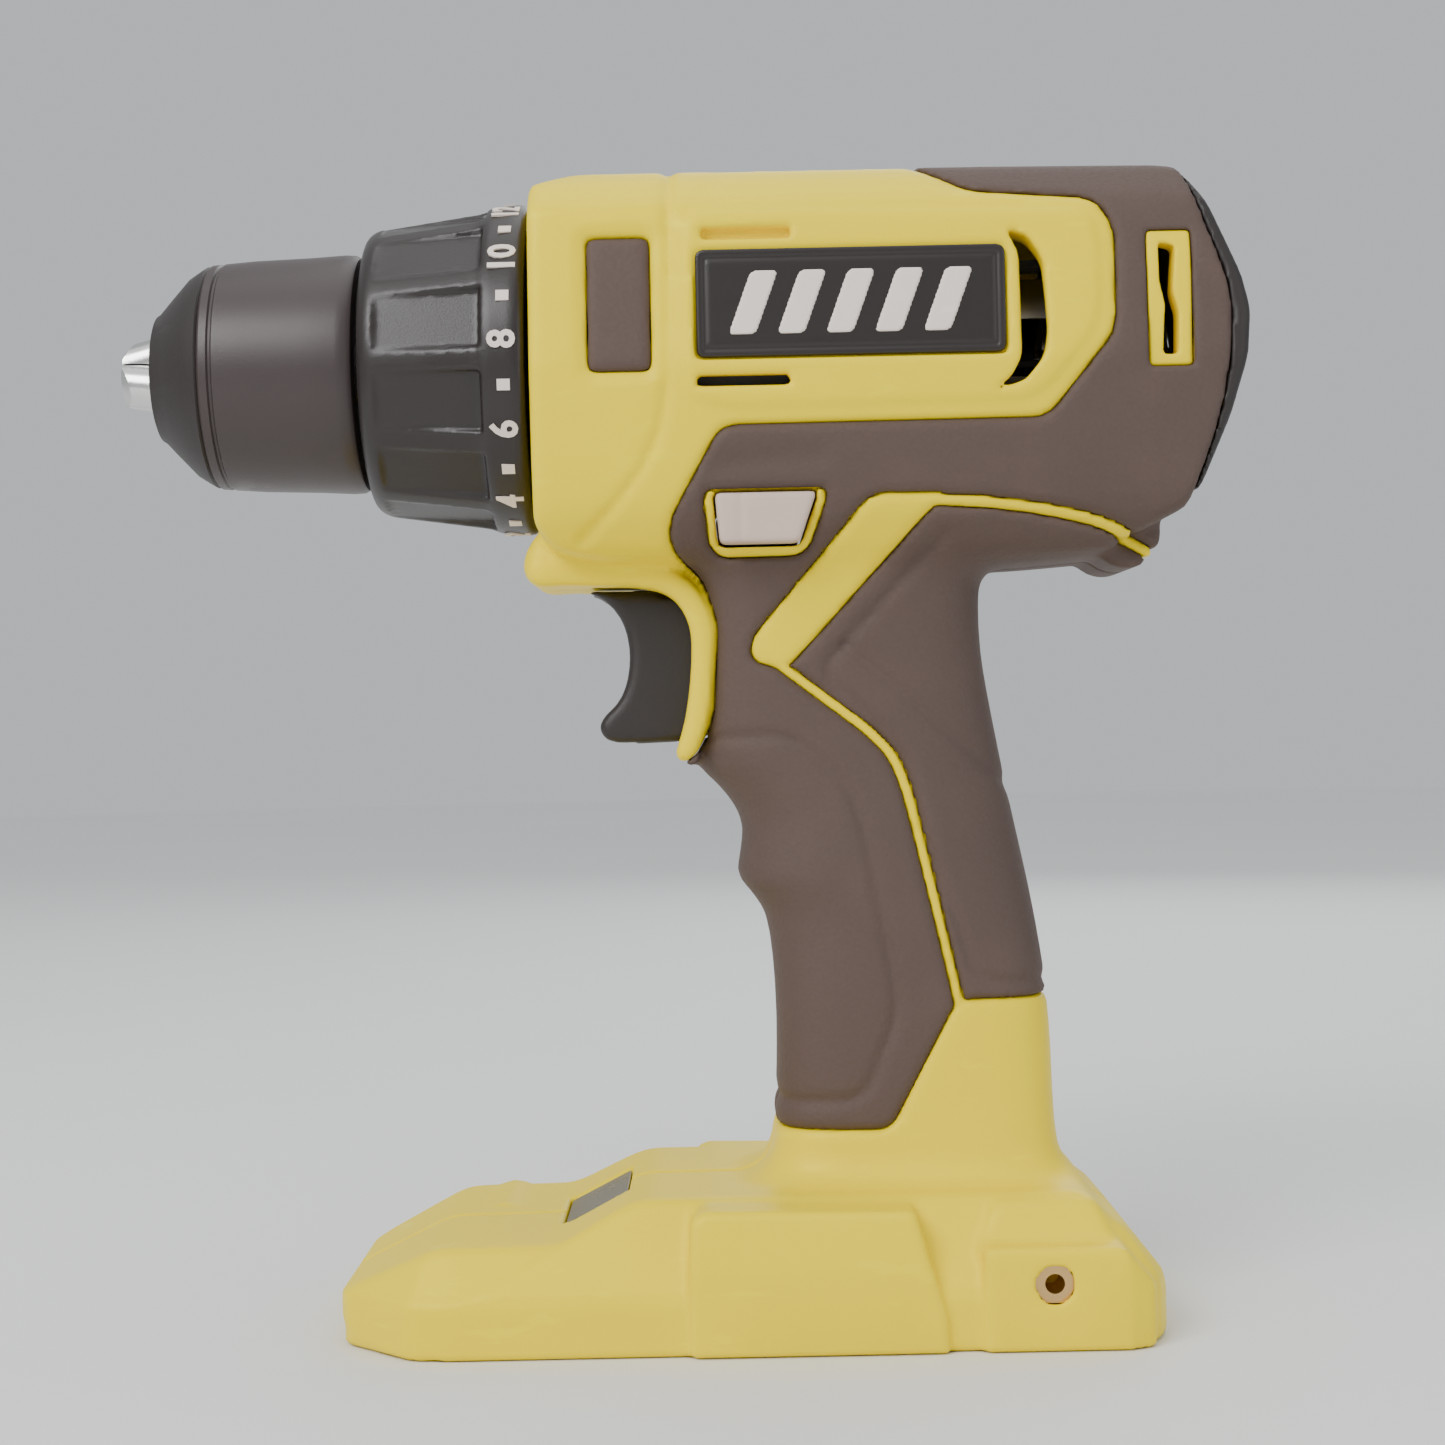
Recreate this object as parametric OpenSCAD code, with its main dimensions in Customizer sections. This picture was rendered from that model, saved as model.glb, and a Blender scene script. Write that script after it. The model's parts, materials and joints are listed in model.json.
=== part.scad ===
// Cordless drill: pistol grip, keyless chuck, torque clutch, two-stage planetary gearbox,
// canned motor and a slide-in battery foot. Millimetres, +Z up, chuck towards -X.
// The origin is at the middle of the footprint, on the surface that the foot stands on.
// Distances named x_ or written as the first of a pair are measured back from the housing's
// front face; distances named dz_ are measured up from the chuck's axis.

/* [Stance] */
// Height of the chuck axis above the base of the foot
axis_height = 169; // [150:1:205]
// Length of the battery foot
foot_len = 141; // [120:1:170]
// Width of the battery foot
foot_w = 76; // [64:1:92]
// Height of the foot's flat top
foot_h = 24.5; // [22:0.5:30]
// Width of the handle
handle_w = 36; // [32:1:44]
// Depth of the handle, front to back, at its foot
handle_d = 50; // [46:1:60]

/* [Housing] */
// Wall thickness of the two housing halves
wall = 2.8; // [2:0.1:3.6]
// Thickness of the soft overmould
overmould_t = 1.6; // [1:0.1:2]
// Room between the gearbox case and the inside of the housing
case_room = 3.8; // [2:0.1:6]
// Depth of the housing behind the motor
rear_room = 16; // [13:0.5:20]
// Thickness of the badge plates
badge_t = 1.2; // [0.8:0.1:1.6]
// Thread radius of the housing screws
screw_r = 1.3; // [1:0.1:1.6]

/* [Gears] */
// Gear module
gear_m = 0.8; // [0.7:0.05:0.95]
// Teeth of the motor pinion and of the sun gear
sun_teeth = 12; // [9:3:12]
// Teeth of each planet gear
planet_teeth = 15; // [15:6:15]
// Face width of the gears
gear_w = 8; // [6.5:0.5:10]
// Radius of the planet pins
pin_r = 1.5; // [1.2:0.1:1.8]
// Travel of the sliding ring gear and of the speed selector
shift_travel = 5; // [3:0.5:6]

/* [Motor] */
// Diameter of the motor can
motor_d = 36; // [30:1:43]
// Length of the motor can
motor_len = 56; // [48:1:68]
// Radius of the motor shaft
shaft_r = 2; // [1.9:0.05:2.3]

/* [Chuck] */
// Largest diameter of the chuck sleeve
sleeve_d = 42.6; // [41:0.2:51]
// Length of the chuck sleeve
sleeve_len = 27; // [25:0.5:33]
// Diameter of each jaw
jaw_d = 7.6; // [6.4:0.1:9]
// Angle of the jaws to the chuck axis
jaw_angle = 15; // [13:0.5:16]
// Bore that the jaws form at rest, the shank they grip
grip_d = 3; // [2.6:0.1:3.6]
// Radius of the spindle's threaded end
spindle_thread_r = 6.35; // [5.4:0.05:6.6]

/* [Clutch] */
// Diameter of the collar's rear rim
collar_d = 59; // [58:0.5:70]
// Length of the clutch collar
collar_len = 29.2; // [26:0.2:35]
// Radius of the threaded clutch nose
nose_r = 13; // [12.6:0.1:15]
// Radius of the spindle in its bearings
spindle_r = 6; // [5:0.1:6.3]
// Number of clutch balls
ball_count = 6; // [3:1:8]

/* [Trigger] */
// Width of the trigger
trigger_w = 15; // [12:0.5:18]
// Travel of the trigger
trigger_travel = 6; // [4:0.5:7]
// Travel of the direction selector, each way
selector_travel = 3; // [2:0.5:3.5]

/* [Battery socket] */
// Length of the socket for the battery's stem, front to back
stem_l = 36; // [30:1:38]
// Width of the socket
stem_w = 27; // [22:1:28]
// Height of the socket above the base
stem_h = 50; // [42:1:56]
// Bore of the accessory inserts in the foot's sides
insert_bore_r = 1.65; // [1.4:0.05:2.1]

/* [Fits] */
// Radial clearance of a shaft in its bearing
run_gap = 0.05; // [0.02:0.01:0.1]
// Clearance between parts that slide or pass each other
slide_gap = 0.35; // [0.3:0.05:0.6]

/* [Hidden] */
$fn = 64;
eps = 0.01;

// Gears: radii from the tooth counts
ring_teeth = sun_teeth + 2 * planet_teeth;
sun_pitch_r = gear_m * sun_teeth / 2;
planet_pitch_r = gear_m * planet_teeth / 2;
ring_pitch_r = gear_m * ring_teeth / 2;
orbit_r = sun_pitch_r + planet_pitch_r;
ring_wall = 3.3;
ring_r = ring_pitch_r + gear_m + ring_wall;
case_r = ring_r + 3.4;
plate_t = 3.2;

// Places along the axis, from the front of the gearbox back to the motor
bearing_w = 7;
bearing_r = nose_r - 2.5;
x_flange = 14;
flange_t = 5;
x_case = x_flange + flange_t;
x_carrier_2 = x_case + 1.5;
x_planets_2 = x_carrier_2 + plate_t + 0.5;
x_carrier_1 = x_planets_2 + gear_w + 0.5;
x_planets_1 = x_planets_2 + gear_w + max(shift_travel + slide_gap, plate_t + 1);
x_gears_end = x_planets_1 + gear_w;
x_motor_plate = x_gears_end + 1.5;
motor_plate_t = 3.5;
x_motor = x_motor_plate + motor_plate_t;
x_motor_end = x_motor + motor_len;
x_rear = x_motor_end + rear_room;
rear_cap_t = 9;

// Places along the axis, from the collar forward to the jaws
collar_gap = 0.8;
x_collar_front = -collar_gap - collar_len;
x_sleeve_rear = x_collar_front - 1;
x_sleeve_front = x_sleeve_rear - sleeve_len;
nose_ring_len = 10.2;
x_nose = x_sleeve_front - nose_ring_len;
jaw_reach = 6.2;
x_jaw_tip = x_nose - jaw_reach;
front_x = -(x_rear + x_jaw_tip) / 2;

// Housing section
inner_r = case_r + case_room;
half_w = inner_r + wall;
top_rise = half_w + 2;
belly = half_w + 7;
section_r = 19;
foot_front = -36;
foot_rear = foot_front + foot_len;
z_belly = axis_height - belly;

// ---------------------------------------------------------------- helpers
module on_axis(x) translate([front_x + x, 0, axis_height]) rotate([0, 90, 0]) children();

module lathe(pts) on_axis(0) rotate_extrude() polygon(points = pts);

module tube(x0, x1, r_out, r_in) {
    on_axis(x0) difference() {
        cylinder(h = x1 - x0, r = r_out);
        translate([0, 0, -1]) cylinder(h = x1 - x0 + 2, r = r_in);
    }
}

// Extrudes a side-view outline from y0 to y1
module slab(y0, y1) {
    translate([front_x, y1, 0]) rotate([90, 0, 0]) linear_extrude(height = y1 - y0) children();
}

module block(x0, x1, y0, y1, z0, z1) {
    translate([front_x + x0, y0, z0]) cube([x1 - x0, y1 - y0, z1 - z0]);
}

module round_rect(x0, x1, y0, y1, r) {
    translate([x0 + r, y0]) square([x1 - x0 - 2 * r, y1 - y0]);
    translate([x0, y0 + r]) square([x1 - x0, y1 - y0 - 2 * r]);
    for (x = [x0 + r, x1 - r], y = [y0 + r, y1 - r]) translate([x, y]) circle(r = r);
}

// One spur gear outline with straight-flanked teeth, a tooth centred on +X
tooth_tip = 0.88;
tooth_root = 1.15;
tip_share = 0.1;
pitch_share = 0.205;
root_share = 0.27;
function tooth_pts(teeth, m) = let(p = 360 / teeth, r = teeth * m / 2) [
    for (i = [0:teeth - 1]) each [
        let(a = p * (i - root_share)) (r - tooth_root * m) * [cos(a), sin(a)],
        let(a = p * (i - pitch_share)) r * [cos(a), sin(a)],
        let(a = p * (i - tip_share)) (r + tooth_tip * m) * [cos(a), sin(a)],
        let(a = p * (i + tip_share)) (r + tooth_tip * m) * [cos(a), sin(a)],
        let(a = p * (i + pitch_share)) r * [cos(a), sin(a)],
        let(a = p * (i + root_share)) (r - tooth_root * m) * [cos(a), sin(a)]]];

// The hollow of an internal gear, a space centred on +X
space_tip_share = 0.15;
space_pitch_share = 0.285;
space_root_share = 0.4;
function space_pts(teeth, m) = let(p = 360 / teeth, r = teeth * m / 2) [
    for (i = [0:teeth - 1]) each [
        let(a = p * (i - space_root_share)) (r - tooth_tip * m) * [cos(a), sin(a)],
        let(a = p * (i - space_pitch_share)) r * [cos(a), sin(a)],
        let(a = p * (i - space_tip_share)) (r + tooth_root * m) * [cos(a), sin(a)],
        let(a = p * (i + space_tip_share)) (r + tooth_root * m) * [cos(a), sin(a)],
        let(a = p * (i + space_pitch_share)) r * [cos(a), sin(a)],
        let(a = p * (i + space_root_share)) (r - tooth_tip * m) * [cos(a), sin(a)]]];

// Sweeps a tube of n sides along a list of points
function unit(v) = v / norm(v);
function tangent(p, i) = unit(p[min(i + 1, len(p) - 1)] - p[max(i - 1, 0)]);
function side_of(t) = unit(cross(t, abs(t.y) < 0.8 ? [0, 1, 0] : [1, 0, 0]));
function smooth(p, t) = let(n = len(p) - 1, s = t * n, i = min(floor(s), n - 1), f = s - i,
    a = p[max(i - 1, 0)], b = p[i], c = p[i + 1], d = p[min(i + 2, n)])
    0.5 * (2 * b + (c - a) * f + (2 * a - 5 * b + 4 * c - d) * f * f
        + (3 * b - a - 3 * c + d) * f * f * f);
module lead(route, r, rings = 26, sides = 8) {
    p = [for (i = [0:rings - 1]) smooth(route, i / (rings - 1))];
    pts = [for (i = [0:rings - 1]) let(t = tangent(p, i), s = side_of(t), u = cross(t, s))
        for (k = [0:sides - 1]) let(a = 360 * k / sides) p[i] + r * (cos(a) * s + sin(a) * u)];
    walls = [for (i = [0:rings - 2], k = [0:sides - 1]) let(a = i * sides + k,
        b = i * sides + (k + 1) % sides) each [[a, a + sides, b + sides], [a, b + sides, b]]];
    first = [[for (k = [0:sides - 1]) k]];
    last = [[for (k = [sides - 1:-1:0]) (rings - 1) * sides + k]];
    translate([front_x, 0, 0]) polyhedron(points = pts, faces = concat(walls, first, last));
}

// Helical spring about the local Z axis
module coil(r, wire_r, length, turns, sides = 8, per_turn = 14) {
    n = turns * per_turn;
    climb = length - 2 * wire_r;
    pts = [for (i = [0:n]) let(a = 360 * i / per_turn, z = wire_r + climb * i / n)
        for (k = [0:sides - 1]) let(b = 360 * k / sides, q = r + wire_r * cos(b))
            [q * cos(a), q * sin(a), z + wire_r * sin(b)]];
    walls = [for (i = [0:n - 1], k = [0:sides - 1]) let(a = i * sides + k,
        b = i * sides + (k + 1) % sides) each [[a, b, b + sides], [a, b + sides, a + sides]]];
    first = [[for (k = [sides - 1:-1:0]) k]];
    last = [[for (k = [0:sides - 1]) n * sides + k]];
    polyhedron(points = pts, faces = concat(walls, first, last));
}

// ---------------------------------------------------------------- housing form
// Side outline of the barrel, nose at the left
x_neck = 8.5;
module barrel_outline() {
    translate([0, axis_height]) polygon(points = [
        [0, -half_w], [0, half_w - 1.4], [x_neck, top_rise], [60, top_rise],
        [x_rear - 11, top_rise - 1.6], [x_rear - 6, 22], [x_rear - 1, 9], [x_rear, 2],
        [x_rear - 1, -7], [x_rear - 8, -half_w + 5], [x_rear - 12, -half_w + 2.5],
        [x_rear - 23, -half_w - 5], [x_rear - 40, -belly], [10, -belly + 1], [0, -half_w]]);
}

module barrel_section(inset) {
    w = half_w - inset;
    round_rect(-top_rise + inset, belly - inset, -w, w, section_r - inset);
}

module barrel_solid() {
    intersection() {
        slab(-half_w - 1, half_w + 1) barrel_outline();
        on_axis(-1) linear_extrude(height = x_rear + 2) barrel_section(0);
    }
}

// Stations of the handle: height, front, back
handle_front = 38.5;
grip_front = 37;
neck_front = 26;
handle_back = handle_front + handle_d + 1.5;
z_grip = foot_h + 0.45 * (z_belly - foot_h);
z_throat = z_belly - 33;
module station(z, x0, x1, inset) {
    r = handle_w * 0.36;
    translate([front_x, 0, z]) linear_extrude(height = 0.5)
        round_rect(x0 + inset, x1 - inset, inset - handle_w / 2, handle_w / 2 - inset, r, $fn = 32);
}
module handle_solid() {
    hull() {
        station(foot_h - 4, handle_front, handle_back + 1, 0);
        station(z_grip, grip_front, handle_back - 3, 0);
    }
    hull() {
        station(z_grip, grip_front, handle_back - 3, 0);
        station(z_throat, neck_front, handle_back - 10.5, 0);
    }
    hull() {
        station(z_throat, neck_front, handle_back - 10.5, 0);
        station(z_belly + 5, neck_front + 3, handle_back - 12.5, 0);
    }
}

corner = 14;
module foot_plan(inset_x, inset_y, z0, h) {
    w = foot_w / 2 - inset_y;
    a = foot_front + inset_x;
    b = foot_rear - inset_x;
    translate([front_x, 0, z0]) linear_extrude(height = h) polygon(points = [
        [a, -w + corner], [a + corner, -w], [b - corner / 2, -w], [b, -w + corner / 2],
        [b, w - corner / 2], [b - corner / 2, w], [a + corner, w], [a, w - corner]]);
}
foot_rim_h = 9.5;
foot_step_h = foot_h - 7;
module foot_solid() {
    foot_plan(0, 0, 0, foot_rim_h);
    hull() {
        foot_plan(0, 1, foot_rim_h - 0.5, 0.5);
        translate([17, 0, 0]) foot_plan(17, 7, foot_step_h - 0.5, 0.5);
    }
    hull() {
        block(foot_front + 34, foot_rear - 3, -foot_w / 2 + 6, foot_w / 2 - 6,
            foot_step_h - 3, foot_step_h - 2.5);
        block(foot_front + 51, foot_rear - 9, -foot_w / 2 + 13, foot_w / 2 - 13,
            foot_h - 0.5, foot_h);
    }
    for (s = [-1, 1]) {
        translate([0, s * (foot_w / 2 - 6), 0]) slab(-6, 6) polygon(points = [
            [foot_front + 60, 0], [foot_front + 60, foot_step_h], [foot_front + 64, foot_step_h + 4],
            [foot_front + 98, foot_step_h + 4], [foot_front + 102, 0]]);
    }
}
block_rear_x = [foot_rear - 32, foot_rear - 7];

// Rim around the trigger's opening, with the chin at its front
module trigger_surround_outline() {
    translate([0, axis_height]) difference() {
        polygon(points = [[-3.4, -belly + 7], [0, -belly + 6], [30, -belly + 8], [34, -belly - 8],
            [34, -belly - 34], [25, -belly - 34], [25, -belly - 30.5], [27, -belly - 24],
            [27, -belly - 10], [24, -belly - 4.2], [18, -belly - 1.6], [2, -belly - 1.6],
            [-2.4, -belly + 1]]);
    }
}
module surround_solid() slab(-handle_w / 2 + 2, handle_w / 2 - 2) trigger_surround_outline();

// Places of the housing screws: distance back, height
z_axis = axis_height;
screw_places = [[15, z_axis + top_rise - 3.2], [x_rear - 18, z_axis + top_rise - 4],
    [x_rear - 20, z_axis - half_w - 1.6], [7, z_axis - half_w - 2.2],
    [handle_back - 16.7, z_belly - 12], [handle_front + 4.2, stem_h + 20],
    [foot_front + 26, foot_rim_h + 3.6], [foot_rear - 12, foot_rim_h + 6]];
screw_grip = 8;
screw_head_r = 2.9;
screw_head_t = 2.2;

module screw_bores(side) {
    for (p = screw_places) translate([front_x + p[0], 0, p[1]]) rotate([90, 0, 0]) {
        if (side < 0) translate([0, 0, -eps]) cylinder(h = screw_grip + 1, r = screw_r);
        if (side > 0) {
            translate([0, 0, -screw_grip - eps]) cylinder(h = screw_grip + 1, r = screw_r);
            translate([0, 0, -foot_w]) cylinder(h = foot_w - screw_grip, r = screw_head_r + 0.4);
        }
    }
}

// Speed selector's recess on top, and the slot for its yoke
selector_len = 24;
selector_w = 16;
selector_floor = inner_r + 1;
x_groove = x_gears_end - gear_w / 2 - 0.5;
x_selector = x_groove - selector_len / 2 + 2;

// Direction selector
x_dir = [30.8, 48.4];
dz_dir = [-belly + 4.2, -belly + 13];
dir_core_drop = -case_r - 2.6;

// Windows in the sides, as distance back and height above the axis
rear_window = [x_rear - 18, x_rear - 10.6, -5.4, 17.6];
side_window = [x_rear - 40.6, x_rear - 35.2, -7.4, 17];
slot_windows = [[29.4, 44.4, 17.6, 19.4], [28.4, 44, -7.2, -5.4]];
badge = [28, 81, -3, 16];
badge_x1 = x_rear - 41.6;

module window(w, y0, y1, grow = 0) {
    block(w[0] - grow, w[1] + grow, y0, y1, z_axis + w[2] - grow, z_axis + w[3] + grow);
}

// Soft zone in side view: the rear, the barrel's underside and the handle
module soft_outline() {
    polygon(points = [[60, z_axis + top_rise + 3], [x_rear - 26, z_axis + half_w - 6.4],
        [x_rear - 23.5, z_axis + 18], [x_rear - 23.8, z_axis + 1], [x_rear - 35.4, z_axis - 13.2],
        [32, z_axis - 13.6], [23, z_axis - 29.5], [23.6, z_belly + 4],
        [31.5, z_belly + 2], [35.5, z_belly - 10], [34, z_belly - 30], [20, z_belly - 33],
        [30, foot_h + 9.8], [59, foot_h + 9.8], [70.6, foot_h + 32], [95, foot_h + 32],
        [95, z_belly - 3], [x_rear, z_belly - 3], [x_rear + 5, z_axis + top_rise + 3]]);
}
module soft_core() {
    on_axis(-2) linear_extrude(height = x_rear + 4) barrel_section(overmould_t);
    block(-10, foot_rear, -handle_w / 2 + overmould_t, handle_w / 2 - overmould_t, 0, z_belly + 12);
}
pad = [10, 20.4, -4.4, 18.3];
module soft_zone(side) {
    difference() {
        union() {
            slab(side < 0 ? -foot_w : 0, side < 0 ? 0 : foot_w) soft_outline();
            window(pad, side < 0 ? -foot_w : 0, side < 0 ? 0 : foot_w);
        }
        soft_core();
    }
}

module outer_solid() {
    barrel_solid();
    handle_solid();
    foot_solid();
    surround_solid();
}

x_ribs = [x_case + 6, x_motor_plate - 4, x_motor + 8, x_motor_end - 8];
module barrel_hollow() {
    difference() {
        on_axis(wall) cylinder(h = x_rear, r = inner_r);
        for (i = [0:3]) difference() {
            tube(x_ribs[i], x_ribs[i] + 2.4, inner_r + 1, i < 2 ? case_r : motor_d / 2);
            block(x_ribs[i] - 1, x_ribs[i] + 4, -6, 6, z_axis - inner_r - 2, z_axis - 15);
            block(x_ribs[i] - 1, x_ribs[i] + 4, -5, 5, z_axis + 15, z_axis + inner_r + 2);
        }
    }
    on_axis(-1) cylinder(h = 6, r = case_r + slide_gap);
}

switch_x = [32, 64];
switch_dz = [-24, 0];
z_switch = z_belly - 5.5;
module handle_hollow() {
    difference() {
        handle_space();
        for (i = [4, 5]) translate([front_x + screw_places[i][0], 0, screw_places[i][1]])
            rotate([90, 0, 0]) cylinder(h = handle_w, r = boss_r, center = true);
    }
}
boss_r = 3;
module handle_space() {
    // upper part, for the trigger and its switch
    block(10, handle_back - 15.5, -trigger_w / 2 - slide_gap, trigger_w / 2 + slide_gap,
        z_throat + 1, z_belly - 1.9);
    block(switch_x[0] - 1, handle_back - 15.5, -handle_w / 2 + 4.5, handle_w / 2 - 4.5,
        z_throat + 1, z_belly - 4);
    // passage up into the barrel
    block(50, handle_back - 16, -7, 7, z_belly - 5, z_axis - inner_r + 4);
    // lower part
    hull() {
        station(stem_h + 1.5, handle_front + 1, handle_back, wall);
        station(z_throat + 1, neck_front + 14, handle_back - 11, wall);
    }
    // socket for the battery's stem
    block(x_stem, x_stem + stem_l, -stem_w / 2, stem_w / 2, -1, stem_h + 2);
    // pocket that holds the terminal block
    block(x_stem + 1, x_stem + stem_l - 1, -stem_w / 2 + 1, stem_w / 2 - 1, stem_h, z_block + block_t);
    // channel in front of the socket, for the lamp's leads
    block(handle_front + 3.2, handle_front + 7.6, -3, 3, foot_rim_h - 1, stem_h + 4);
}
x_stem = handle_front + 8.5;

foot_wall = 4.5;
module foot_hollow() {
    w = foot_w / 2 - foot_wall;
    block(foot_front + foot_wall + 3, foot_rear - foot_wall, -w + 9, w - 9, -1, foot_rim_h - 1.5);
    block(foot_front + foot_wall + 12, foot_rear - foot_wall - 5, -w, w, -1, foot_rim_h - 1.5);
    block(x_led + 1, handle_front + 6.5, -3, 3, foot_rim_h - 3, foot_rim_h + 3);
    block(x_led - 1, x_led + 9, -9, 9, foot_rim_h - 2, foot_rim_h + 6);
}

// Lamp on the slope behind the foot's front deck
x_led = foot_front + 38.5;
led_len = 13;
led_w = 24;
led_tilt = atan((foot_h - foot_step_h + 2.5) / 17);
module on_slope(x, up) {
    translate([front_x + foot_front + 34 + x * cos(led_tilt), 0,
        foot_step_h - 2.5 + x * sin(led_tilt)]) rotate([0, -led_tilt, 0])
        translate([0, 0, up]) children();
}

insert_len = 8;
insert_r = insert_bore_r + 2;
insert_depth = 1.5;
insert_x = foot_rear - 20.4;
insert_z = 11;

module side_boxes() {
    for (s = [-1, 1]) {
        y0 = s < 0 ? -foot_w / 2 : foot_w / 2 - 10;
        block(block_rear_x[0], block_rear_x[1], y0, y0 + 10, 0, foot_step_h);
    }
}

module half(side) {
    intersection() {
        outer_with_boxes();
        block(-20 + foot_front, x_rear - rear_cap_t, side < 0 ? -foot_w : 0,
            side < 0 ? 0 : foot_w, -1, axis_height + 60);
    }
}
module outer_with_boxes() {
    outer_solid();
    side_boxes();
}

module shell(side) {
    y0 = side < 0 ? -foot_w : -1;
    y1 = side < 0 ? 1 : foot_w;
    difference() {
        half(side);
        soft_zone(side);
        barrel_hollow();
        handle_hollow();
        foot_hollow();
        screw_bores(side);
        // badge recess
        window([badge[0], badge_x1, badge[2], badge[3]], side < 0 ? -foot_w : half_w - badge_t,
            side < 0 ? -half_w + badge_t : foot_w);
        // ventilation windows
        window(rear_window, y0, y1);
        window(side_window, side < 0 ? y0 : 12, side < 0 ? -12 : y1);
        for (w = slot_windows) window(w, side < 0 ? y0 : 12, side < 0 ? -12 : y1);
        // selectors
        block(x_dir[0] - slide_gap, x_dir[1] + slide_gap, y0, y1, z_axis + dz_dir[0] - slide_gap,
            z_axis + dz_dir[1] + slide_gap);
        block(x_selector - shift_travel - slide_gap, x_selector + selector_len + slide_gap,
            -selector_w / 2 - slide_gap, selector_w / 2 + slide_gap, z_axis + selector_floor - 0.3,
            z_axis + top_rise + 5);
        block(x_groove - shift_travel - 2, x_groove + 2, -5, 5, z_axis + case_r - 2,
            z_axis + top_rise);
        // lamp
        on_slope(4, -4) translate([0, -led_w / 2, 0]) cube([led_len, led_w, 6]);
        // accessory inserts
        translate([front_x + insert_x, 0, insert_z]) rotate([90, 0, 0])
            translate([0, 0, side < 0 ? foot_w / 2 - insert_len - insert_depth : -foot_w / 2 - 1])
            cylinder(h = insert_len + insert_depth + 1, r = insert_r, $fn = 6);
    }
}
module left_shell() color("#ecd41c") shell(-1);
module right_shell() color("#ecd41c") shell(1);

module overmould(side) {
    difference() {
        intersection() {
            union() {
                barrel_solid();
                handle_solid();
            }
            soft_zone(side);
        }
        block(x_rear - rear_cap_t, x_rear + 5, -foot_w, foot_w, 0, axis_height + 60);
        window(rear_window, -foot_w, foot_w);
        block(x_dir[0] - slide_gap, x_dir[1] + slide_gap, -foot_w, foot_w,
            z_axis + dz_dir[0] - slide_gap, z_axis + dz_dir[1] + slide_gap);
        screw_bores(side);
    }
}
module left_overmould() color("#71594f") overmould(-1);
module right_overmould() color("#71594f") overmould(1);

module badge_plate(side) {
    window([badge[0], badge_x1, badge[2], badge[3]], side < 0 ? -half_w : half_w - badge_t,
        side < 0 ? -half_w + badge_t : half_w);
}
module left_badge_plate() color("#3c3230") badge_plate(-1);
module right_badge_plate() color("#3c3230") badge_plate(1);

module vent_bezel(side) {
    w = rear_window;
    mid = z_axis + (w[2] + w[3]) / 2;
    y0 = side < 0 ? -half_w + 0.3 : inner_r - 4;
    y1 = side < 0 ? -inner_r + 4 : half_w - 0.3;
    difference() {
        window(w, y0, y1);
        block(w[0] + 1.8, w[1] - 1.8, y0 - 1, y1 + 1, z_axis + w[2] + 2, mid - 0.8);
        block(w[0] + 1.8, w[1] - 1.8, y0 - 1, y1 + 1, mid + 0.8, z_axis + w[3] - 2);
    }
}
module left_vent_bezel() color("#ecd41c") vent_bezel(-1);
module right_vent_bezel() color("#ecd41c") vent_bezel(1);

module rear_cap() color("#3a312a") {
    difference() {
        intersection() {
            barrel_solid();
            block(x_rear - rear_cap_t, x_rear + 1, -half_w, half_w, 0, axis_height + 60);
        }
        on_axis(x_rear - rear_cap_t - 1) cylinder(h = rear_cap_t - 3, r = half_w - 9);
        window([x_rear - 12, x_rear - 10.6, rear_window[2], rear_window[3]], -foot_w, foot_w);
        for (i = [-2:2]) block(x_rear - rear_cap_t, x_rear + 2, -11, 11,
            z_axis + 5 * i - 1.1, z_axis + 5 * i + 1.1);
    }
}

module housing_screws() color("#2e2b29") {
    for (p = screw_places) translate([front_x + p[0], 0, p[1]]) rotate([90, 0, 0]) {
        translate([0, 0, -screw_grip]) cylinder(h = 2 * screw_grip, r = screw_r);
        translate([0, 0, -screw_grip - screw_head_t]) difference() {
            cylinder(h = screw_head_t, r = screw_head_r);
            translate([0, 0, -0.1]) cylinder(h = 1.3, r = 1.2, $fn = 6);
        }
    }
}

module accessory_inserts() color("#c9a04a") {
    for (s = [-1, 1]) translate([front_x + insert_x, s * (foot_w / 2 - insert_depth), insert_z])
        rotate([s * 90, 0, 0]) difference() {
            cylinder(h = insert_len, r = insert_r, $fn = 6);
            translate([0, 0, -1]) cylinder(h = insert_len + 2, r = insert_bore_r);
        }
}

module led_lens() color("#767a5c", 0.6) {
    on_slope(4, -1.6) translate([0.3, -led_w / 2 + 0.3, 0]) cube([led_len - 0.6, led_w - 0.6, 1.6]);
}

module led_board() color("#2f6b3a") {
    on_slope(6, -3.2) translate([0, -7, 0]) cube([8, 14, 1]);
    on_slope(9, -2.2) translate([0, 0, 0]) cylinder(h = 0.5, r = 1.5);
}

// ---------------------------------------------------------------- handle contents
block_t = 9;
z_block = stem_h + 2.2;
module terminal_block() color("#26221f") {
    difference() {
        block(x_stem + 1, x_stem + stem_l - 1, -stem_w / 2 + 1, stem_w / 2 - 1, z_block,
            z_block + block_t);
        for (i = [0:3]) block(contact_x(i) - eps, contact_x(i) + 0.8 + eps, -4, 4, stem_h - 1,
            stem_h + 12);
    }
}
function contact_x(i) = x_stem + 6 + i * (stem_l - 12.8) / 3;
module battery_contacts() color("#c08a4a") {
    for (i = [0:3]) block(contact_x(i), contact_x(i) + 0.8, -4, 4, stem_h - 9, stem_h + 13.5);
}

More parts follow.
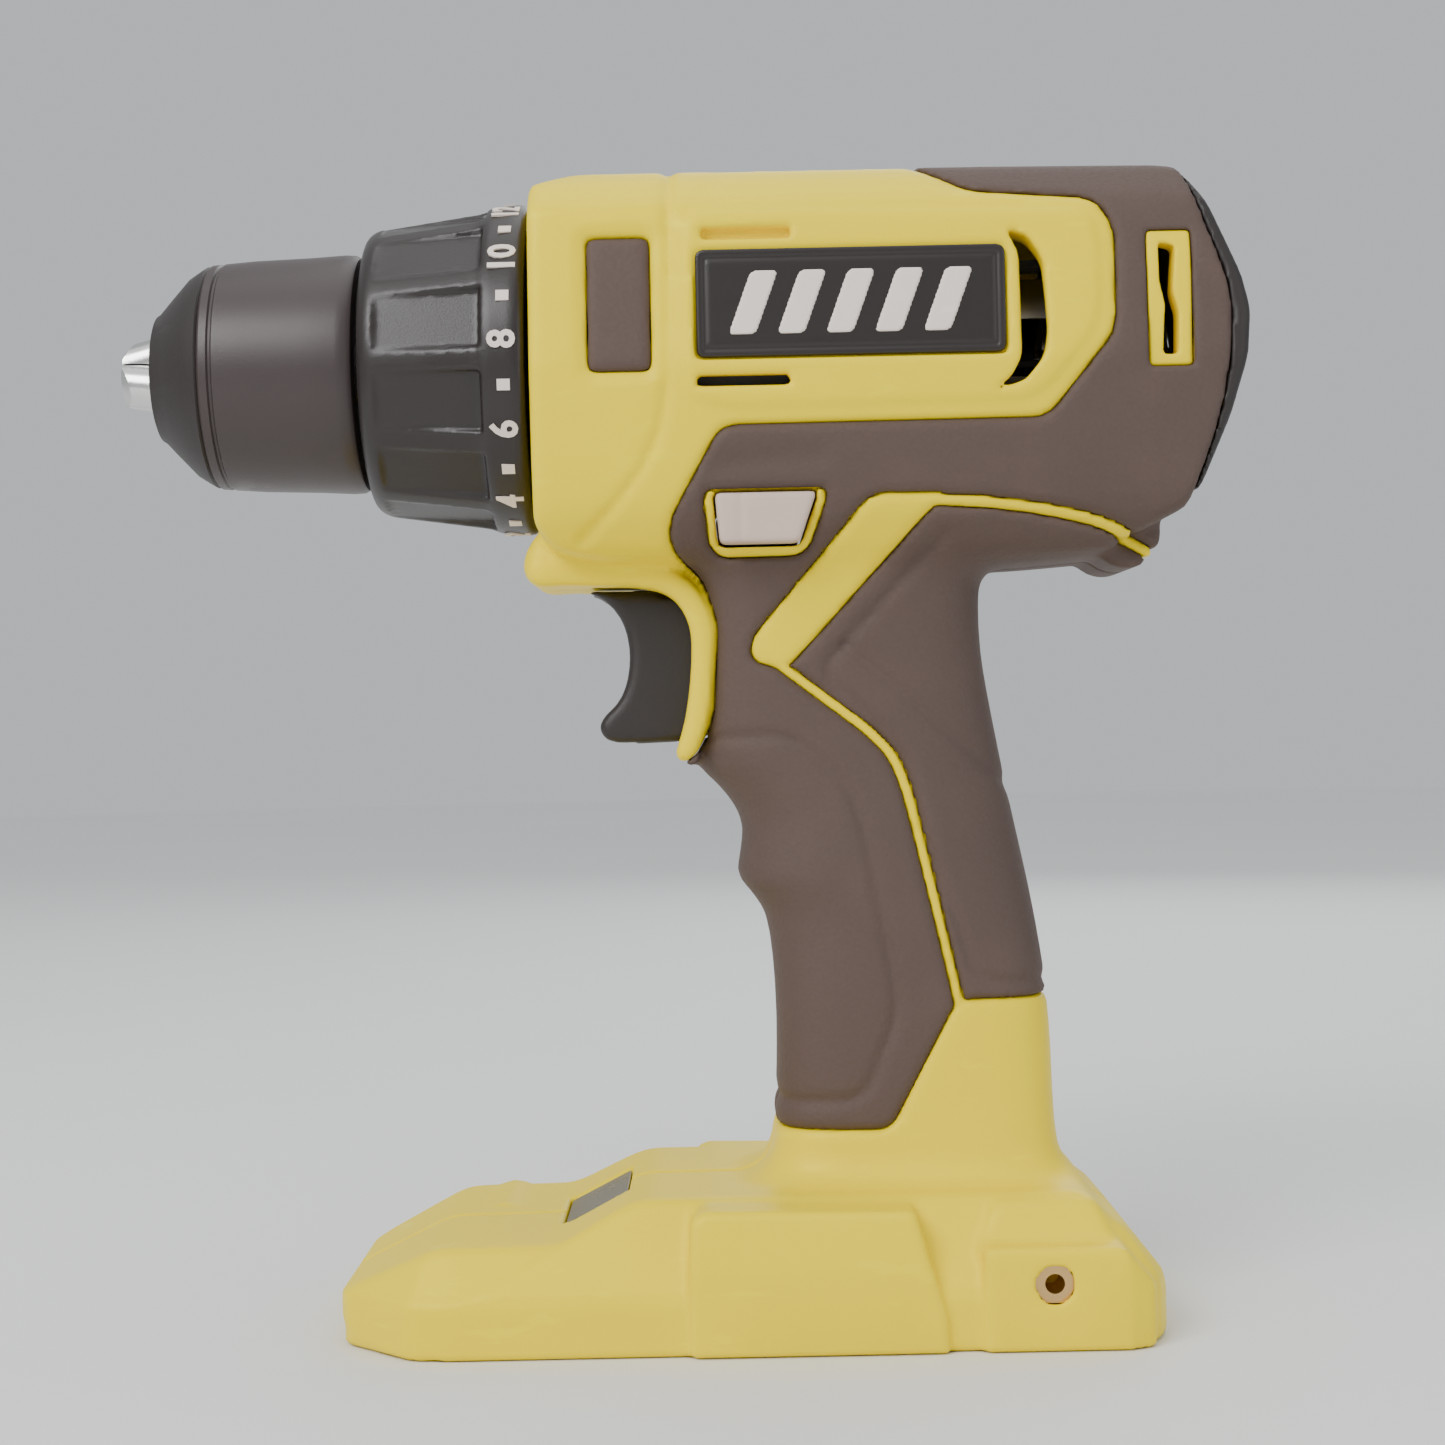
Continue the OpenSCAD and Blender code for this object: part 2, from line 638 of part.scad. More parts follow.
module trigger_switch() color("#332e2b") {
    difference() {
        union() {
            block(switch_x[0] + 4, switch_x[1], -9, 9, z_switch + switch_dz[0],
                z_switch + switch_dz[1]);
            block(switch_x[0] + 8, switch_x[1] - 8, -5, 5, z_switch, z_switch + 1.4);
            for (y = [-4, 4]) block(switch_x[1], switch_x[1] + 4, y - 1.5, y + 1.5, z_switch - 20,
                z_switch - 19);
        }
        translate([front_x + switch_x[0], 0, z_stem_rod]) rotate([0, 90, 0])
            cylinder(h = 16, r = 2 + slide_gap);
    }
}
z_stem_rod = z_switch - 10;
trigger_back = 25.5;
module trigger() color("#48403c") {
    slab(-trigger_w / 2, trigger_w / 2) translate([0, z_belly]) polygon(points = [
        [2.3, -2.8], [8, -3.6], [12, -6.6], [14.3, -11], [14.6, -17], [13, -21.5],
        [9.6, -25], [9.8, -28], [12, -29.4], [trigger_back, -29.2], [trigger_back, -6.5],
        [21, -2.4], [4, -2.1]]);
    translate([front_x + trigger_back - 1, 0, z_stem_rod]) rotate([0, 90, 0])
        cylinder(h = switch_x[0] + 4 - trigger_back + 7, r = 2);
}
module trigger_spring() color("#b8b4ad") {
    gap = switch_x[0] + 4 - trigger_back;
    translate([front_x + trigger_back, 0, z_stem_rod]) rotate([0, 90, 0])
        coil(3.6, 0.35, gap, 5, 6, 12);
}

module direction_selector() color("#ddc3b3") {
    reach = half_w - 1;
    difference() {
        block(x_dir[0], x_dir[1], -reach, reach, z_axis + dz_dir[0], z_axis + dz_dir[1]);
        block(x_dir[0] - 1, x_dir[1] + 1, -reach + 5, reach - 5, z_axis + dir_core_drop,
            z_axis + dz_dir[1] + 1);
        for (s = [-1, 1]) translate([0, s * (reach + 2.5), 0]) block(x_dir[0] - 1, x_dir[1] + 1,
            -5, 5, 0, z_axis + dz_dir[0] - 5);
    }
}

module speed_selector() color("#d9c41a") {
    difference() {
        union() {
            block(x_selector, x_selector + selector_len, -selector_w / 2, selector_w / 2,
                z_axis + selector_floor, z_axis + top_rise - 0.6);
            for (i = [0:4]) translate([front_x + x_selector + 4 + i * 4, -selector_w / 2 + 2,
                z_axis + top_rise - 0.8]) rotate([-90, 0, 0]) cylinder(h = selector_w - 4, r = 1.3);
        }
        yoke_tab(slide_gap - 0.35);
    }
}
module yoke_tab(grow) {
    block(x_groove - 1 - grow, x_groove + 1 + grow, -3 - grow, 3 + grow, z_axis + groove_r + 0.3,
        z_axis + selector_floor + 2);
}

groove_r = ring_r - 1.6;
module shift_yoke() color("#a8a49c") {
    intersection() {
        tube(x_groove - 0.8, x_groove + 0.8, ring_r - 0.3, groove_r + 0.1);
        block(x_groove - 5, x_groove + 5, -40, 40, z_axis - 4, z_axis + 40);
    }
    difference() {
        yoke_tab(0);
        on_axis(x_groove - 5) cylinder(h = 10, r = groove_r + 0.4);
    }
}

// ---------------------------------------------------------------- gearbox and clutch
module gearbox_case() color("#57534f") {
    difference() {
        tube(x_case, x_motor_plate, case_r, ring_r);
        block(x_groove - shift_travel - 1.6, x_groove + 1.6, -3.6, 3.6, z_axis,
            z_axis + case_r + 2);
    }
}

ball_r = 2.2;
ball_orbit = ring_r - 3;
module clutch_nose() color("#7d7973") {
    difference() {
        union() {
            tube(x_collar_front + 2.6, x_case, nose_r, bearing_r);
            tube(x_flange, x_case, case_r, bearing_r);
            tube(1, x_flange, case_r, case_r - 1.8);
        }
        tube(x_collar_front + 3.6, x_collar_front + 4.8, nose_r + 1, nose_r - 1);
        for (i = [0:ball_count - 1]) on_axis(x_flange - 1) rotate([0, 0, 360 * i / ball_count])
            translate([ball_orbit, 0, 0]) cylinder(h = flange_t + 2, r = ball_r + run_gap);
    }
}
module snap_ring() color("#b8b4ad") {
    difference() {
        tube(x_collar_front + 3.6, x_collar_front + 4.8, nose_r + 0.9, nose_r - 1);
        block(x_collar_front, x_collar_front + 8, -1.5, 1.5, z_axis - 40, z_axis);
    }
}
module clutch_balls() color("#c9c9cc") {
    for (i = [0:ball_count - 1]) on_axis(x_case) rotate([0, 0, 360 * i / ball_count])
        translate([ball_orbit, 0, -ball_r + 1.9]) sphere(r = ball_r);
}
washer_t = 1.5;
module thrust_washer() color("#a8a49c") tube(x_flange - washer_t, x_flange, case_r - 2.1, nose_r);
spring_r = 17.5;
spring_wire_r = 1.3;
x_nut = -14;
nut_len = 7;
module clutch_spring() color("#b8b4ad") {
    on_axis(x_nut + nut_len) coil(spring_r, spring_wire_r, x_flange - washer_t - x_nut - nut_len, 5);
}
collar_inner_r = collar_d / 2 - 5;
nut_keys = 3;
key_w = 5;
module clutch_nut() color("#3a3633") {
    tube(x_nut, x_nut + nut_len, collar_inner_r - 1.6, nose_r + run_gap);
    for (i = [0:nut_keys - 1]) on_axis(x_nut) rotate([0, 0, 360 * i / nut_keys])
        translate([collar_inner_r - 3, -key_w / 2, 0]) cube([2.4, key_w, nut_len]);
}

collar_front_r = collar_d / 2 - 4;
grip_count = 12;
module clutch_collar() color("#45393a") {
    x0 = x_collar_front;
    difference() {
        lathe([[nose_r + 0.4, x0], [collar_front_r - 2.5, x0], [collar_front_r, x0 + 2.5],
            [collar_d / 2 - 1, x0 + collar_len - 8], [collar_d / 2, x0 + collar_len - 5],
            [collar_d / 2, x0 + collar_len], [collar_inner_r, x0 + collar_len],
            [collar_inner_r, x0 + 5.4], [nose_r + 0.4, x0 + 5.4]]);
        // the shoulder that the snap ring holds
        tube(x0 + 2.6, x0 + 6, nose_r + 1.3, 1);
        // grip flats
        for (i = [0:grip_count - 1]) on_axis(x0 + 5) rotate([0, 0, 360 * (i + 0.5) / grip_count])
            translate([collar_front_r + 0.2, -4.6, 0]) cube([9, 9.2, collar_len - 13.5]);
    }
}

bearing_balls = 8;
module bearing(x0) {
    ball = 1.3;
    mid = (bearing_r + spindle_r) / 2;
    difference() {
        tube(x0, x0 + bearing_w, bearing_r, mid + 0.8);
        on_axis(x0 + bearing_w / 2) rotate_extrude() translate([mid, 0]) circle(r = ball);
    }
    difference() {
        tube(x0, x0 + bearing_w, mid - 0.8, spindle_r + run_gap);
        on_axis(x0 + bearing_w / 2) rotate_extrude() translate([mid, 0]) circle(r = ball);
    }
    for (i = [0:bearing_balls - 1]) on_axis(x0 + bearing_w / 2)
        rotate([0, 0, 360 * i / bearing_balls]) translate([mid, 0, 0]) sphere(r = ball - 0.05);
}
x_front_bearing = x_collar_front + 5.2;
module spindle_bearings() color("#c9c9cc") {
    bearing(x_front_bearing);
    bearing(x_case - bearing_w);
}

module gear(teeth, x0, width, bore_r) {
    on_axis(x0) difference() {
        linear_extrude(height = width) polygon(points = tooth_pts(teeth, gear_m));
        translate([0, 0, -1]) cylinder(h = width + 2, r = bore_r);
    }
}
module gear_pins(x0, length) {
    for (i = [0:2]) on_axis(x0) rotate([0, 0, 120 * i]) translate([orbit_r, 0, 0])
        cylinder(h = length, r = pin_r);
}
module ring_gear(x0, width, r_out) {
    on_axis(x0) difference() {
        cylinder(h = width, r = r_out);
        translate([0, 0, -1]) linear_extrude(height = width + 2)
            polygon(points = space_pts(ring_teeth, gear_m));
    }
}
carrier_r = orbit_r + pin_r + 2.4;
module clutch_ring_gear() color("#8f8a83") {
    ring_gear(x_planets_2, gear_w, ring_r);
    tube(x_case + 2.1, x_planets_2, ring_r, carrier_r + 1);
}
module sliding_ring_gear() color("#8f8a83") {
    difference() {
        ring_gear(x_planets_1, gear_w, ring_r - run_gap);
        difference() {
            tube(x_groove - 1.1, x_groove + 1.1, ring_r + 1, groove_r);
        }
    }
}
module carrier() color("#9b978f") {
    tube(x_carrier_1, x_carrier_1 + plate_t, carrier_r, shaft_r + 1);
    gear(sun_teeth, x_planets_2 + 0.4, x_carrier_1 - x_planets_2 - 0.4 + eps, shaft_r);
    gear_pins(x_carrier_1 + plate_t - eps, x_gears_end - x_carrier_1 - plate_t + 0.5);
}
module planet(i, x0) {
    on_axis(x0) rotate([0, 0, 120 * i]) translate([orbit_r, 0, 0]) difference() {
        linear_extrude(height = gear_w) polygon(points = tooth_pts(planet_teeth, gear_m));
        translate([0, 0, -1]) cylinder(h = gear_w + 2, r = pin_r + run_gap);
    }
}
module planet_1a() color("#b5b0a8") planet(0, x_planets_1);
module planet_1b() color("#b5b0a8") planet(1, x_planets_1);
module planet_1c() color("#b5b0a8") planet(2, x_planets_1);
module planet_2a() color("#b5b0a8") planet(0, x_planets_2);
module planet_2b() color("#b5b0a8") planet(1, x_planets_2);
module planet_2c() color("#b5b0a8") planet(2, x_planets_2);

// ---------------------------------------------------------------- motor
can_t = 1.2;
can_vents = 6;
motor_r = motor_d / 2;
module motor_plate() color("#6d6862") {
    difference() {
        tube(x_motor_plate, x_motor, case_r, 8);
        for (a = [90, 270]) on_axis(x_motor_plate - 1) rotate([0, 0, a])
            translate([12.5, 0, 0]) cylinder(h = motor_plate_t + 2, r = 1.6);
    }
}
x_vents = x_motor_end - 25;
module motor_can() color("#a3a4a6") {
    difference() {
        tube(x_motor, x_motor_end, motor_r, 5);
        on_axis(x_motor + can_t) cylinder(h = motor_len, r = motor_r - can_t);
        for (i = [0:can_vents - 1]) on_axis(x_vents) rotate([0, 0, 360 * (i + 0.5) / can_vents])
            translate([0, -5, 0]) cube([motor_r + 1, 10, 9]);
        for (a = [90, 270]) on_axis(x_motor - 1) rotate([0, 0, a]) translate([12.5, 0, 0])
            cylinder(h = 3, r = 1.25);
    }
    // the front bush
    tube(x_motor, x_motor + 3.5, 5, shaft_r + run_gap);
}
x_core = [x_motor + 10, x_motor + 27];
magnet_t = 2.4;
module magnets() color("#4b4a4c") {
    for (s = [0, 1]) intersection() {
        tube(x_core[0] - 3, x_core[1] + 2, motor_r - can_t, motor_r - can_t - magnet_t);
        on_axis(x_core[0] - 5) rotate([0, 0, 180 * s]) translate([3.5, -30, 0]) cube([40, 60, 40]);
    }
}
core_r = motor_r - can_t - magnet_t - 0.5;
core_slots = 5;
module armature_core() color("#77757a") {
    difference() {
        tube(x_core[0], x_core[1], core_r, shaft_r);
        for (i = [0:core_slots - 1]) on_axis(x_core[0] - 1)
            rotate([0, 0, 360 * (i + 0.5) / core_slots]) {
                translate([core_r - 3, -0.9, 0]) cube([6, 1.8, 40]);
                translate([core_r - 4.6, 0, 0]) cylinder(h = 40, r = 2.4);
            }
    }
}
module windings() color("#b5682e") {
    for (i = [0:core_slots - 1]) on_axis(x_core[0] - 4)
        rotate([0, 0, 360 * (i + 0.5) / core_slots])
        translate([core_r - 4.6, 0, 0]) cylinder(h = x_core[1] - x_core[0] + 8, r = 2.3);
    tube(x_core[0] - 4, x_core[0] - 0.6, core_r - 3.2, shaft_r + 1);
    tube(x_core[1] + 0.6, x_core[1] + 4, core_r - 3.2, shaft_r + 1);
}
module motor_shaft() color("#c9c9cc") {
    on_axis(x_planets_1 - 0.2) cylinder(h = x_motor_end + 5 - x_planets_1, r = shaft_r);
}
module motor_pinion() color("#9b978f") {
    gear(sun_teeth, x_planets_1 + 0.2, gear_w + 1, shaft_r);
}
x_comm = x_motor_end - 14;
comm_r = 4.6;
module commutator() color("#b87a45") {
    difference() {
        tube(x_comm, x_comm + 9, comm_r, shaft_r);
        for (i = [0:core_slots - 1]) on_axis(x_comm + 1) rotate([0, 0, 72 * i])
            translate([comm_r - 0.7, -0.25, 0]) cube([2, 0.5, 10]);
    }
    tube(x_comm - 1.5, x_comm, comm_r + 1.2, shaft_r);
}
fan_blades = 9;
module motor_fan() color("#2d2a28") {
    tube(x_vents, x_vents + 1.4, motor_r - 3, shaft_r);
    tube(x_vents, x_vents + 7, 4.5, shaft_r);
    for (i = [0:fan_blades - 1]) on_axis(x_vents + 1) rotate([0, 0, 360 * i / fan_blades])
        translate([4, -0.5, 0]) cube([motor_r - 7.4, 1, 6]);
}
brush_w = 4;
module end_bell() color("#3b3734") {
    difference() {
        union() {
            tube(x_motor_end - 3, x_motor_end, motor_r - can_t, shaft_r + 4);
            tube(x_motor_end, x_motor_end + 3, motor_r, shaft_r + 4);
            tube(x_motor_end - 1, x_motor_end + 5, 6, shaft_r + run_gap);
            for (s = [-1, 1]) block(x_comm, x_motor_end - 2, s < 0 ? -14 : 7, s < 0 ? -7 : 14,
                z_axis - 4, z_axis + 4);
            for (y = [-9, 9]) block(x_motor_end + 2, x_motor_end + 6, y - 2, y + 2, z_axis - 12.5,
                z_axis - 11.5);
        }
        block(x_comm + 1, x_comm + 1 + brush_w, -20, 20, z_axis - brush_w / 2,
            z_axis + brush_w / 2);
    }
}
module carbon_brushes() color("#2a2a2c") {
    for (s = [-1, 1]) block(x_comm + 1, x_comm + 1 + brush_w, s < 0 ? -13 : comm_r + run_gap,
        s < 0 ? -comm_r - run_gap : 13, z_axis - brush_w / 2, z_axis + brush_w / 2);
}

// Leads: from the switch up to the motor, from the switch down to the terminals,
// and from the switch down to the lamp
lead_r = 1.1;
module internal_leads() color("#8c1f1a") {
    for (y = [-4, 4]) {
        lead([[switch_x[1] + 4, y, z_switch - 19.5], [switch_x[1] + 5, y, z_switch - 15],
            [switch_x[1] + 4, y, z_switch - 4], [switch_x[1] + 2, y, z_belly + 4],
            [switch_x[1] + 8, y, z_axis - 23.5], [x_motor_end - 6, y, z_axis - 23.5],
            [x_motor_end + 5, y * 1.2, z_axis - 21], [x_motor_end + 5, y * 2.1, z_axis - 13]],
            lead_r);
    }
    lead([[switch_x[0] + 26, 4, z_switch - 24], [switch_x[0] + 27, 4, z_switch - 27],
        [contact_x(3) - 2, 3, stem_h + 24], [contact_x(3) + 0.4, 0, stem_h + 13.5]], lead_r, 16);
    lead([[switch_x[0] + 16, -4, z_switch - 24], [switch_x[0] + 16, -4, z_switch - 27],
        [contact_x(0) + 2, -3, stem_h + 24], [contact_x(0) + 0.4, 0, stem_h + 13.5]], lead_r, 16);
    lead([[switch_x[0] + 10, 0, z_switch - 24], [switch_x[0] + 12, 0, z_switch - 30],
        [handle_front + 9, 0, stem_h + 18], [handle_front + 5.4, 0, stem_h],
        [handle_front + 5.2, 0, foot_rim_h + 8], [handle_front + 2, 0, foot_rim_h],
        [x_led + 14, 0, foot_rim_h], [x_led + 6, 0, foot_rim_h + 4.6]], 0.7, 40, 8);
}

// ---------------------------------------------------------------- spindle and chuck
jaw_r = jaw_d / 2;
jaw_run = jaw_r / cos(jaw_angle);
jaw_tip_orbit = 2.1;
jaw_len = 23;
jaw_gap = 0.35;
x_thread = x_jaw_tip + 31.5;
function jaw_orbit(x) = jaw_tip_orbit + (x - x_jaw_tip) * tan(jaw_angle);

module spindle() color("#b9b7b2") {
    difference() {
        union() {
            tube(x_thread, x_sleeve_rear - 2, spindle_thread_r, 2);
            tube(x_sleeve_rear - 2 - eps, x_carrier_2 + eps, spindle_r, 2);
            tube(x_carrier_2, x_carrier_2 + plate_t, carrier_r, 2);
        }
        on_axis(x_thread + 14) cylinder(h = x_carrier_2 - x_thread - 14, r = 1);
    }
    gear_pins(x_carrier_2 + plate_t - eps, gear_w + 0.7);
    on_axis(x_carrier_2) cylinder(h = plate_t, r = 2.2);
}

// One jaw's own frame: local Z runs back along the jaw
module jaw_frame(i) {
    on_axis(x_jaw_tip) rotate([0, 0, 120 * i + 180]) translate([jaw_tip_orbit, 0, 0])
        rotate([0, jaw_angle, 0]) children();
}
module jaw(i) color("#c8c4bc") {
    difference() {
        intersection() {
            jaw_frame(i) translate([0, 0, -4]) cylinder(h = jaw_len + 4, r = jaw_r);
            on_axis(x_jaw_tip) cylinder(h = 60, r1 = jaw_tip_orbit + jaw_run - 1.2, r2 = 60);
            // a third of the round, with half the gap taken off each side
            on_axis(x_jaw_tip) rotate([0, 0, 120 * i + 180]) linear_extrude(height = 60)
                polygon(points = [[jaw_gap / 2 / sin(60), 0], [20, 34.64 - jaw_gap],
                    [30, 34.64 - jaw_gap], [30, -34.64 + jaw_gap], [20, -34.64 + jaw_gap]]);
        }
        on_axis(x_jaw_tip - 1) cylinder(h = 60, r = grip_d / 2);
    }
}
module jaw_a() jaw(0);
module jaw_b() jaw(1);
module jaw_c() jaw(2);

x_nut_front = x_jaw_tip + 20.5;
jaw_nut_len = 7;
nut_clear = 0.25;
function nut_inner(x) = jaw_orbit(x) + jaw_run + nut_clear;
sleeve_front_r = sleeve_d / 2 - 1.2;
sleeve_wall = 2.4;
sleeve_inner_r = sleeve_front_r - sleeve_wall;
module jaw_nut() color("#8f8a83") {
    lathe([[nut_inner(x_nut_front), x_nut_front], [sleeve_inner_r, x_nut_front],
        [sleeve_inner_r, x_nut_front + jaw_nut_len],
        [nut_inner(x_nut_front + jaw_nut_len), x_nut_front + jaw_nut_len]]);
}
module chuck_body() color("#8d8c8c") {
    a = x_nut_front - 0.3;
    b = x_nut_front + jaw_nut_len + 0.3;
    core_cut = nut_clear + 0.6;
    difference() {
        lathe([[0, x_nose + 2], [nut_inner(x_nose + 2) + 1.2, x_nose + 2],
            [nut_inner(a) + 1.6, a - 3], [nut_inner(a) + 1.6, a], [nut_inner(a) - core_cut, a],
            [nut_inner(b) - core_cut, b], [sleeve_inner_r - slide_gap, b],
            [sleeve_inner_r - slide_gap, x_sleeve_rear - 0.5], [0, x_sleeve_rear - 0.5]]);
        for (i = [0:2]) jaw_frame(i) translate([0, 0, -6])
            cylinder(h = jaw_len + 6 + jaw_travel + 1, r = jaw_r + run_gap);
        on_axis(x_jaw_tip) cylinder(h = 12, r = jaw_r);
        on_axis(x_jaw_tip) cylinder(h = 60, r = grip_d / 2 + 0.6);
        on_axis(x_thread - 5) cylinder(h = 60, r = spindle_thread_r);
    }
}
jaw_travel = 13;
module chuck_screw() color("#4a4744") {
    on_axis(x_thread) cylinder(h = 11, r = 2);
    on_axis(x_thread - 3.2) difference() {
        cylinder(h = 3.2, r = 4.3);
        translate([0, 0, -1]) cylinder(h = 2.6, r = 1.6, $fn = 6);
    }
}
module chuck_sleeve() color("#605150") {
    difference() {
        lathe([[sleeve_inner_r, x_sleeve_front], [sleeve_front_r, x_sleeve_front],
            [sleeve_front_r, x_sleeve_front + 2], [sleeve_front_r + 0.5, x_sleeve_front + 3],
            [sleeve_d / 2, x_sleeve_rear - 3], [sleeve_d / 2 - 0.6, x_sleeve_rear],
            [sleeve_inner_r, x_sleeve_rear]]);
    }
}
nose_front_r = 11.7;
module nose_ring() color("#3c2f29") {
    lathe([[nut_inner(x_nose) + 0.2, x_nose], [nose_front_r - 0.8, x_nose],
        [nose_front_r, x_nose + 0.8], [sleeve_front_r - 2.2, x_sleeve_front - 2.6],
        [sleeve_front_r, x_sleeve_front], [sleeve_inner_r - 1.2, x_sleeve_front],
        [nut_inner(x_nose + 2) + 1.6, x_nose + 2], [nut_inner(x_nose + 2) + 0.2, x_nose + 1.6]]);
}

left_shell();
right_shell();
left_overmould();
right_overmould();
left_badge_plate();
right_badge_plate();
left_vent_bezel();
right_vent_bezel();
rear_cap();
housing_screws();
accessory_inserts();
led_lens();
led_board();
terminal_block();
battery_contacts();
trigger_switch();
trigger_spring();
gearbox_case();
clutch_nose();
motor_plate();
clutch_ring_gear();
spindle_bearings();
snap_ring();
thrust_washer();
clutch_balls();
clutch_spring();
motor_can();
magnets();
end_bell();
carbon_brushes();
internal_leads();
spindle();
chuck_body();
chuck_screw();
chuck_sleeve();
nose_ring();
jaw_nut();
jaw_a();
jaw_b();
jaw_c();
clutch_collar();
clutch_nut();
carrier();
motor_shaft();
armature_core();
windings();
commutator();
motor_fan();
motor_pinion();
trigger();
direction_selector();
speed_selector();
shift_yoke();
sliding_ring_gear();
planet_1a();
planet_1b();
planet_1c();
planet_2a();
planet_2b();
planet_2c();
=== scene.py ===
"""Visual model of a cordless drill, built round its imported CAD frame.

Moulded pieces are made from sampled distance fields: each is a sum of simple shapes in
millimetres, and its surface is read off the lattice as a closed mesh. Distances called u run
back from the housing's front face, heights called z run up from the base, and d is the height
above the chuck's axis.
"""
import functools
import json
import math

import bpy
import numpy as np
from mathutils import Matrix, Vector


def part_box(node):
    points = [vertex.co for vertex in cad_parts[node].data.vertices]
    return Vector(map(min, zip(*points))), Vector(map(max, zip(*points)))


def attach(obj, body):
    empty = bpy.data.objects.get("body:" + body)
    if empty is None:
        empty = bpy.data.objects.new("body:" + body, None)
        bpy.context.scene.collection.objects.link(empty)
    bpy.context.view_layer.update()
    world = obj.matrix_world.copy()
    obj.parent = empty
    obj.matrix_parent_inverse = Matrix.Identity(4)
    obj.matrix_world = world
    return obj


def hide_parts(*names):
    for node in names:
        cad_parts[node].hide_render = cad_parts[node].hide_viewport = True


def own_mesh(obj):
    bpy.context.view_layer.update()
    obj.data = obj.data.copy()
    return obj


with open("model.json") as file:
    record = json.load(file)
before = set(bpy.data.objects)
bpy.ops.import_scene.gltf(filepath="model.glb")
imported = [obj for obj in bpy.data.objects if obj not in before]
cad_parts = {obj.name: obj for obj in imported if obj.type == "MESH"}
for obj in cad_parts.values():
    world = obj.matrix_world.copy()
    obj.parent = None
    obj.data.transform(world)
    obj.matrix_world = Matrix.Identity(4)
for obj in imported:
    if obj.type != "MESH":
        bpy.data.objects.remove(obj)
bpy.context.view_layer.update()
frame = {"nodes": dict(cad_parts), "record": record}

bl_info = {
    "name": "Cordless Drill",
    "version": (1, 0, 0),
    "blender": (4, 5, 0),
    "location": "View3D > Sidebar > Drill",
    "description": "Builds the moulded pieces, finishes and studio of a cordless drill",
    "category": "Object",
}

MM = 0.001


def box_mm(node):
    """Lowest and highest corner of a CAD node, in millimetres."""
    low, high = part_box(node)
    return np.array(low) / MM, np.array(high) / MM


def box_back(node):
    """The same corners, measured back from the housing's front face."""
    low, high = box_mm(node)
    return low - [FRONT, 0, 0], high - [FRONT, 0, 0]


# ------------------------------------------------------------------ places read from the frame
COLLAR_GAP = 0.8
COLLAR_BOX = box_mm("clutch_collar")
FRONT = COLLAR_BOX[1][0] + COLLAR_GAP
AXIS_Z = (COLLAR_BOX[0][2] + COLLAR_BOX[1][2]) / 2
COLLAR_R = (COLLAR_BOX[1][1] - COLLAR_BOX[0][1]) / 2
COLLAR = box_back("clutch_collar")
SLEEVE = box_back("chuck_sleeve")
NOSE = box_back("nose_ring")
CASE_R = box_mm("gearbox_case")[1][1]
SHELL_LOW, SHELL_HIGH = box_back("left_shell")
REAR = box_back("rear_cap")[1][0]
TOP = SHELL_HIGH[2] - AXIS_Z
FOOT_FRONT = SHELL_LOW[0]
FOOT_HALF = -SHELL_LOW[1]
HALF_W = -box_mm("left_badge_plate")[0][1]
TRIGGER = box_back("trigger")
DIRECTION = box_back("direction_selector")
SPEED = box_back("speed_selector")
BADGE = box_back("left_badge_plate")
BEZEL = box_back("left_vent_bezel")
LENS = box_back("led_lens")
TERMINALS = box_back("terminal_block")
SWITCH = box_back("trigger_switch")
INSERT = box_back("accessory_inserts")
INSERT_MOUTH = -INSERT[0][1]


# ------------------------------------------------------------------ sizes and colours
def size(name, text, default, low, high):
    """A length that a user would change, given here in millimetres."""
    return bpy.props.FloatProperty(name=name, description=text, default=default * MM, min=low * MM,
                                   max=high * MM, precision=5, unit="LENGTH")


def colour(name, text, default):
    """A linear colour that a user would change."""
    return bpy.props.FloatVectorProperty(
        name=name, description=text, default=default, size=3, min=0, max=1, subtype="COLOR")


class DrillSizes(bpy.types.PropertyGroup):
    """Lengths of the mouldings."""
    pitch: size("Lattice pitch", "Spacing of the samples of the large pieces", 0.75, 0.5, 2)
    wall: size("Wall", "Wall of the housing halves", 2.8, 2, 4)
    skin: size("Overmould", "Thickness of the soft overmould", 1.6, 1, 2)
    seam: size("Seam", "Depth of the seams between mouldings", 0.5, 0, 1)
    grip: size("Grip groove", "Depth of the grooves in the grips", 0.6, 0, 1)


class DrillColours(bpy.types.PropertyGroup):
    """Colours of the mouldings."""
    yellow: colour("Yellow", "Housing halves and speed selector", (0.92, 0.70, 0.0))
    grey: colour("Grey", "Soft overmould", (0.082, 0.052, 0.042))
    dark: colour("Dark", "Trigger, rear cap and nose ring", (0.018, 0.013, 0.012))
    collar: colour("Collar", "Clutch collar", (0.017, 0.012, 0.0115))
    sleeve: colour("Sleeve", "Chuck sleeve", (0.040, 0.028, 0.027))
    beige: colour("Beige", "Direction selector", (0.60, 0.46, 0.38))
    mark: colour("Marks", "Numerals and badge bars", (0.80, 0.70, 0.64))


def chosen(key):
    """One of the chosen sizes, in millimetres."""
    return round(getattr(bpy.context.scene.drill_sizes, key) / MM, 4)


# ------------------------------------------------------------------ distance fields
class Lattice:
    """A block of space sampled every pitch millimetres, as three broadcasting arrays."""

    def __init__(self, low, high, pitch):
        axes = [np.arange(a - 2 * pitch, b + 2.5 * pitch, pitch, dtype=np.float32)
                for a, b in zip(low, high)]
        self.pitch = pitch
        self.start = np.array([a[0] for a in axes])
        self.u = axes[0][:, None, None]
        self.y = axes[1][None, :, None]
        self.z = axes[2][None, None, :]
        self.shape = tuple(len(a) for a in axes)


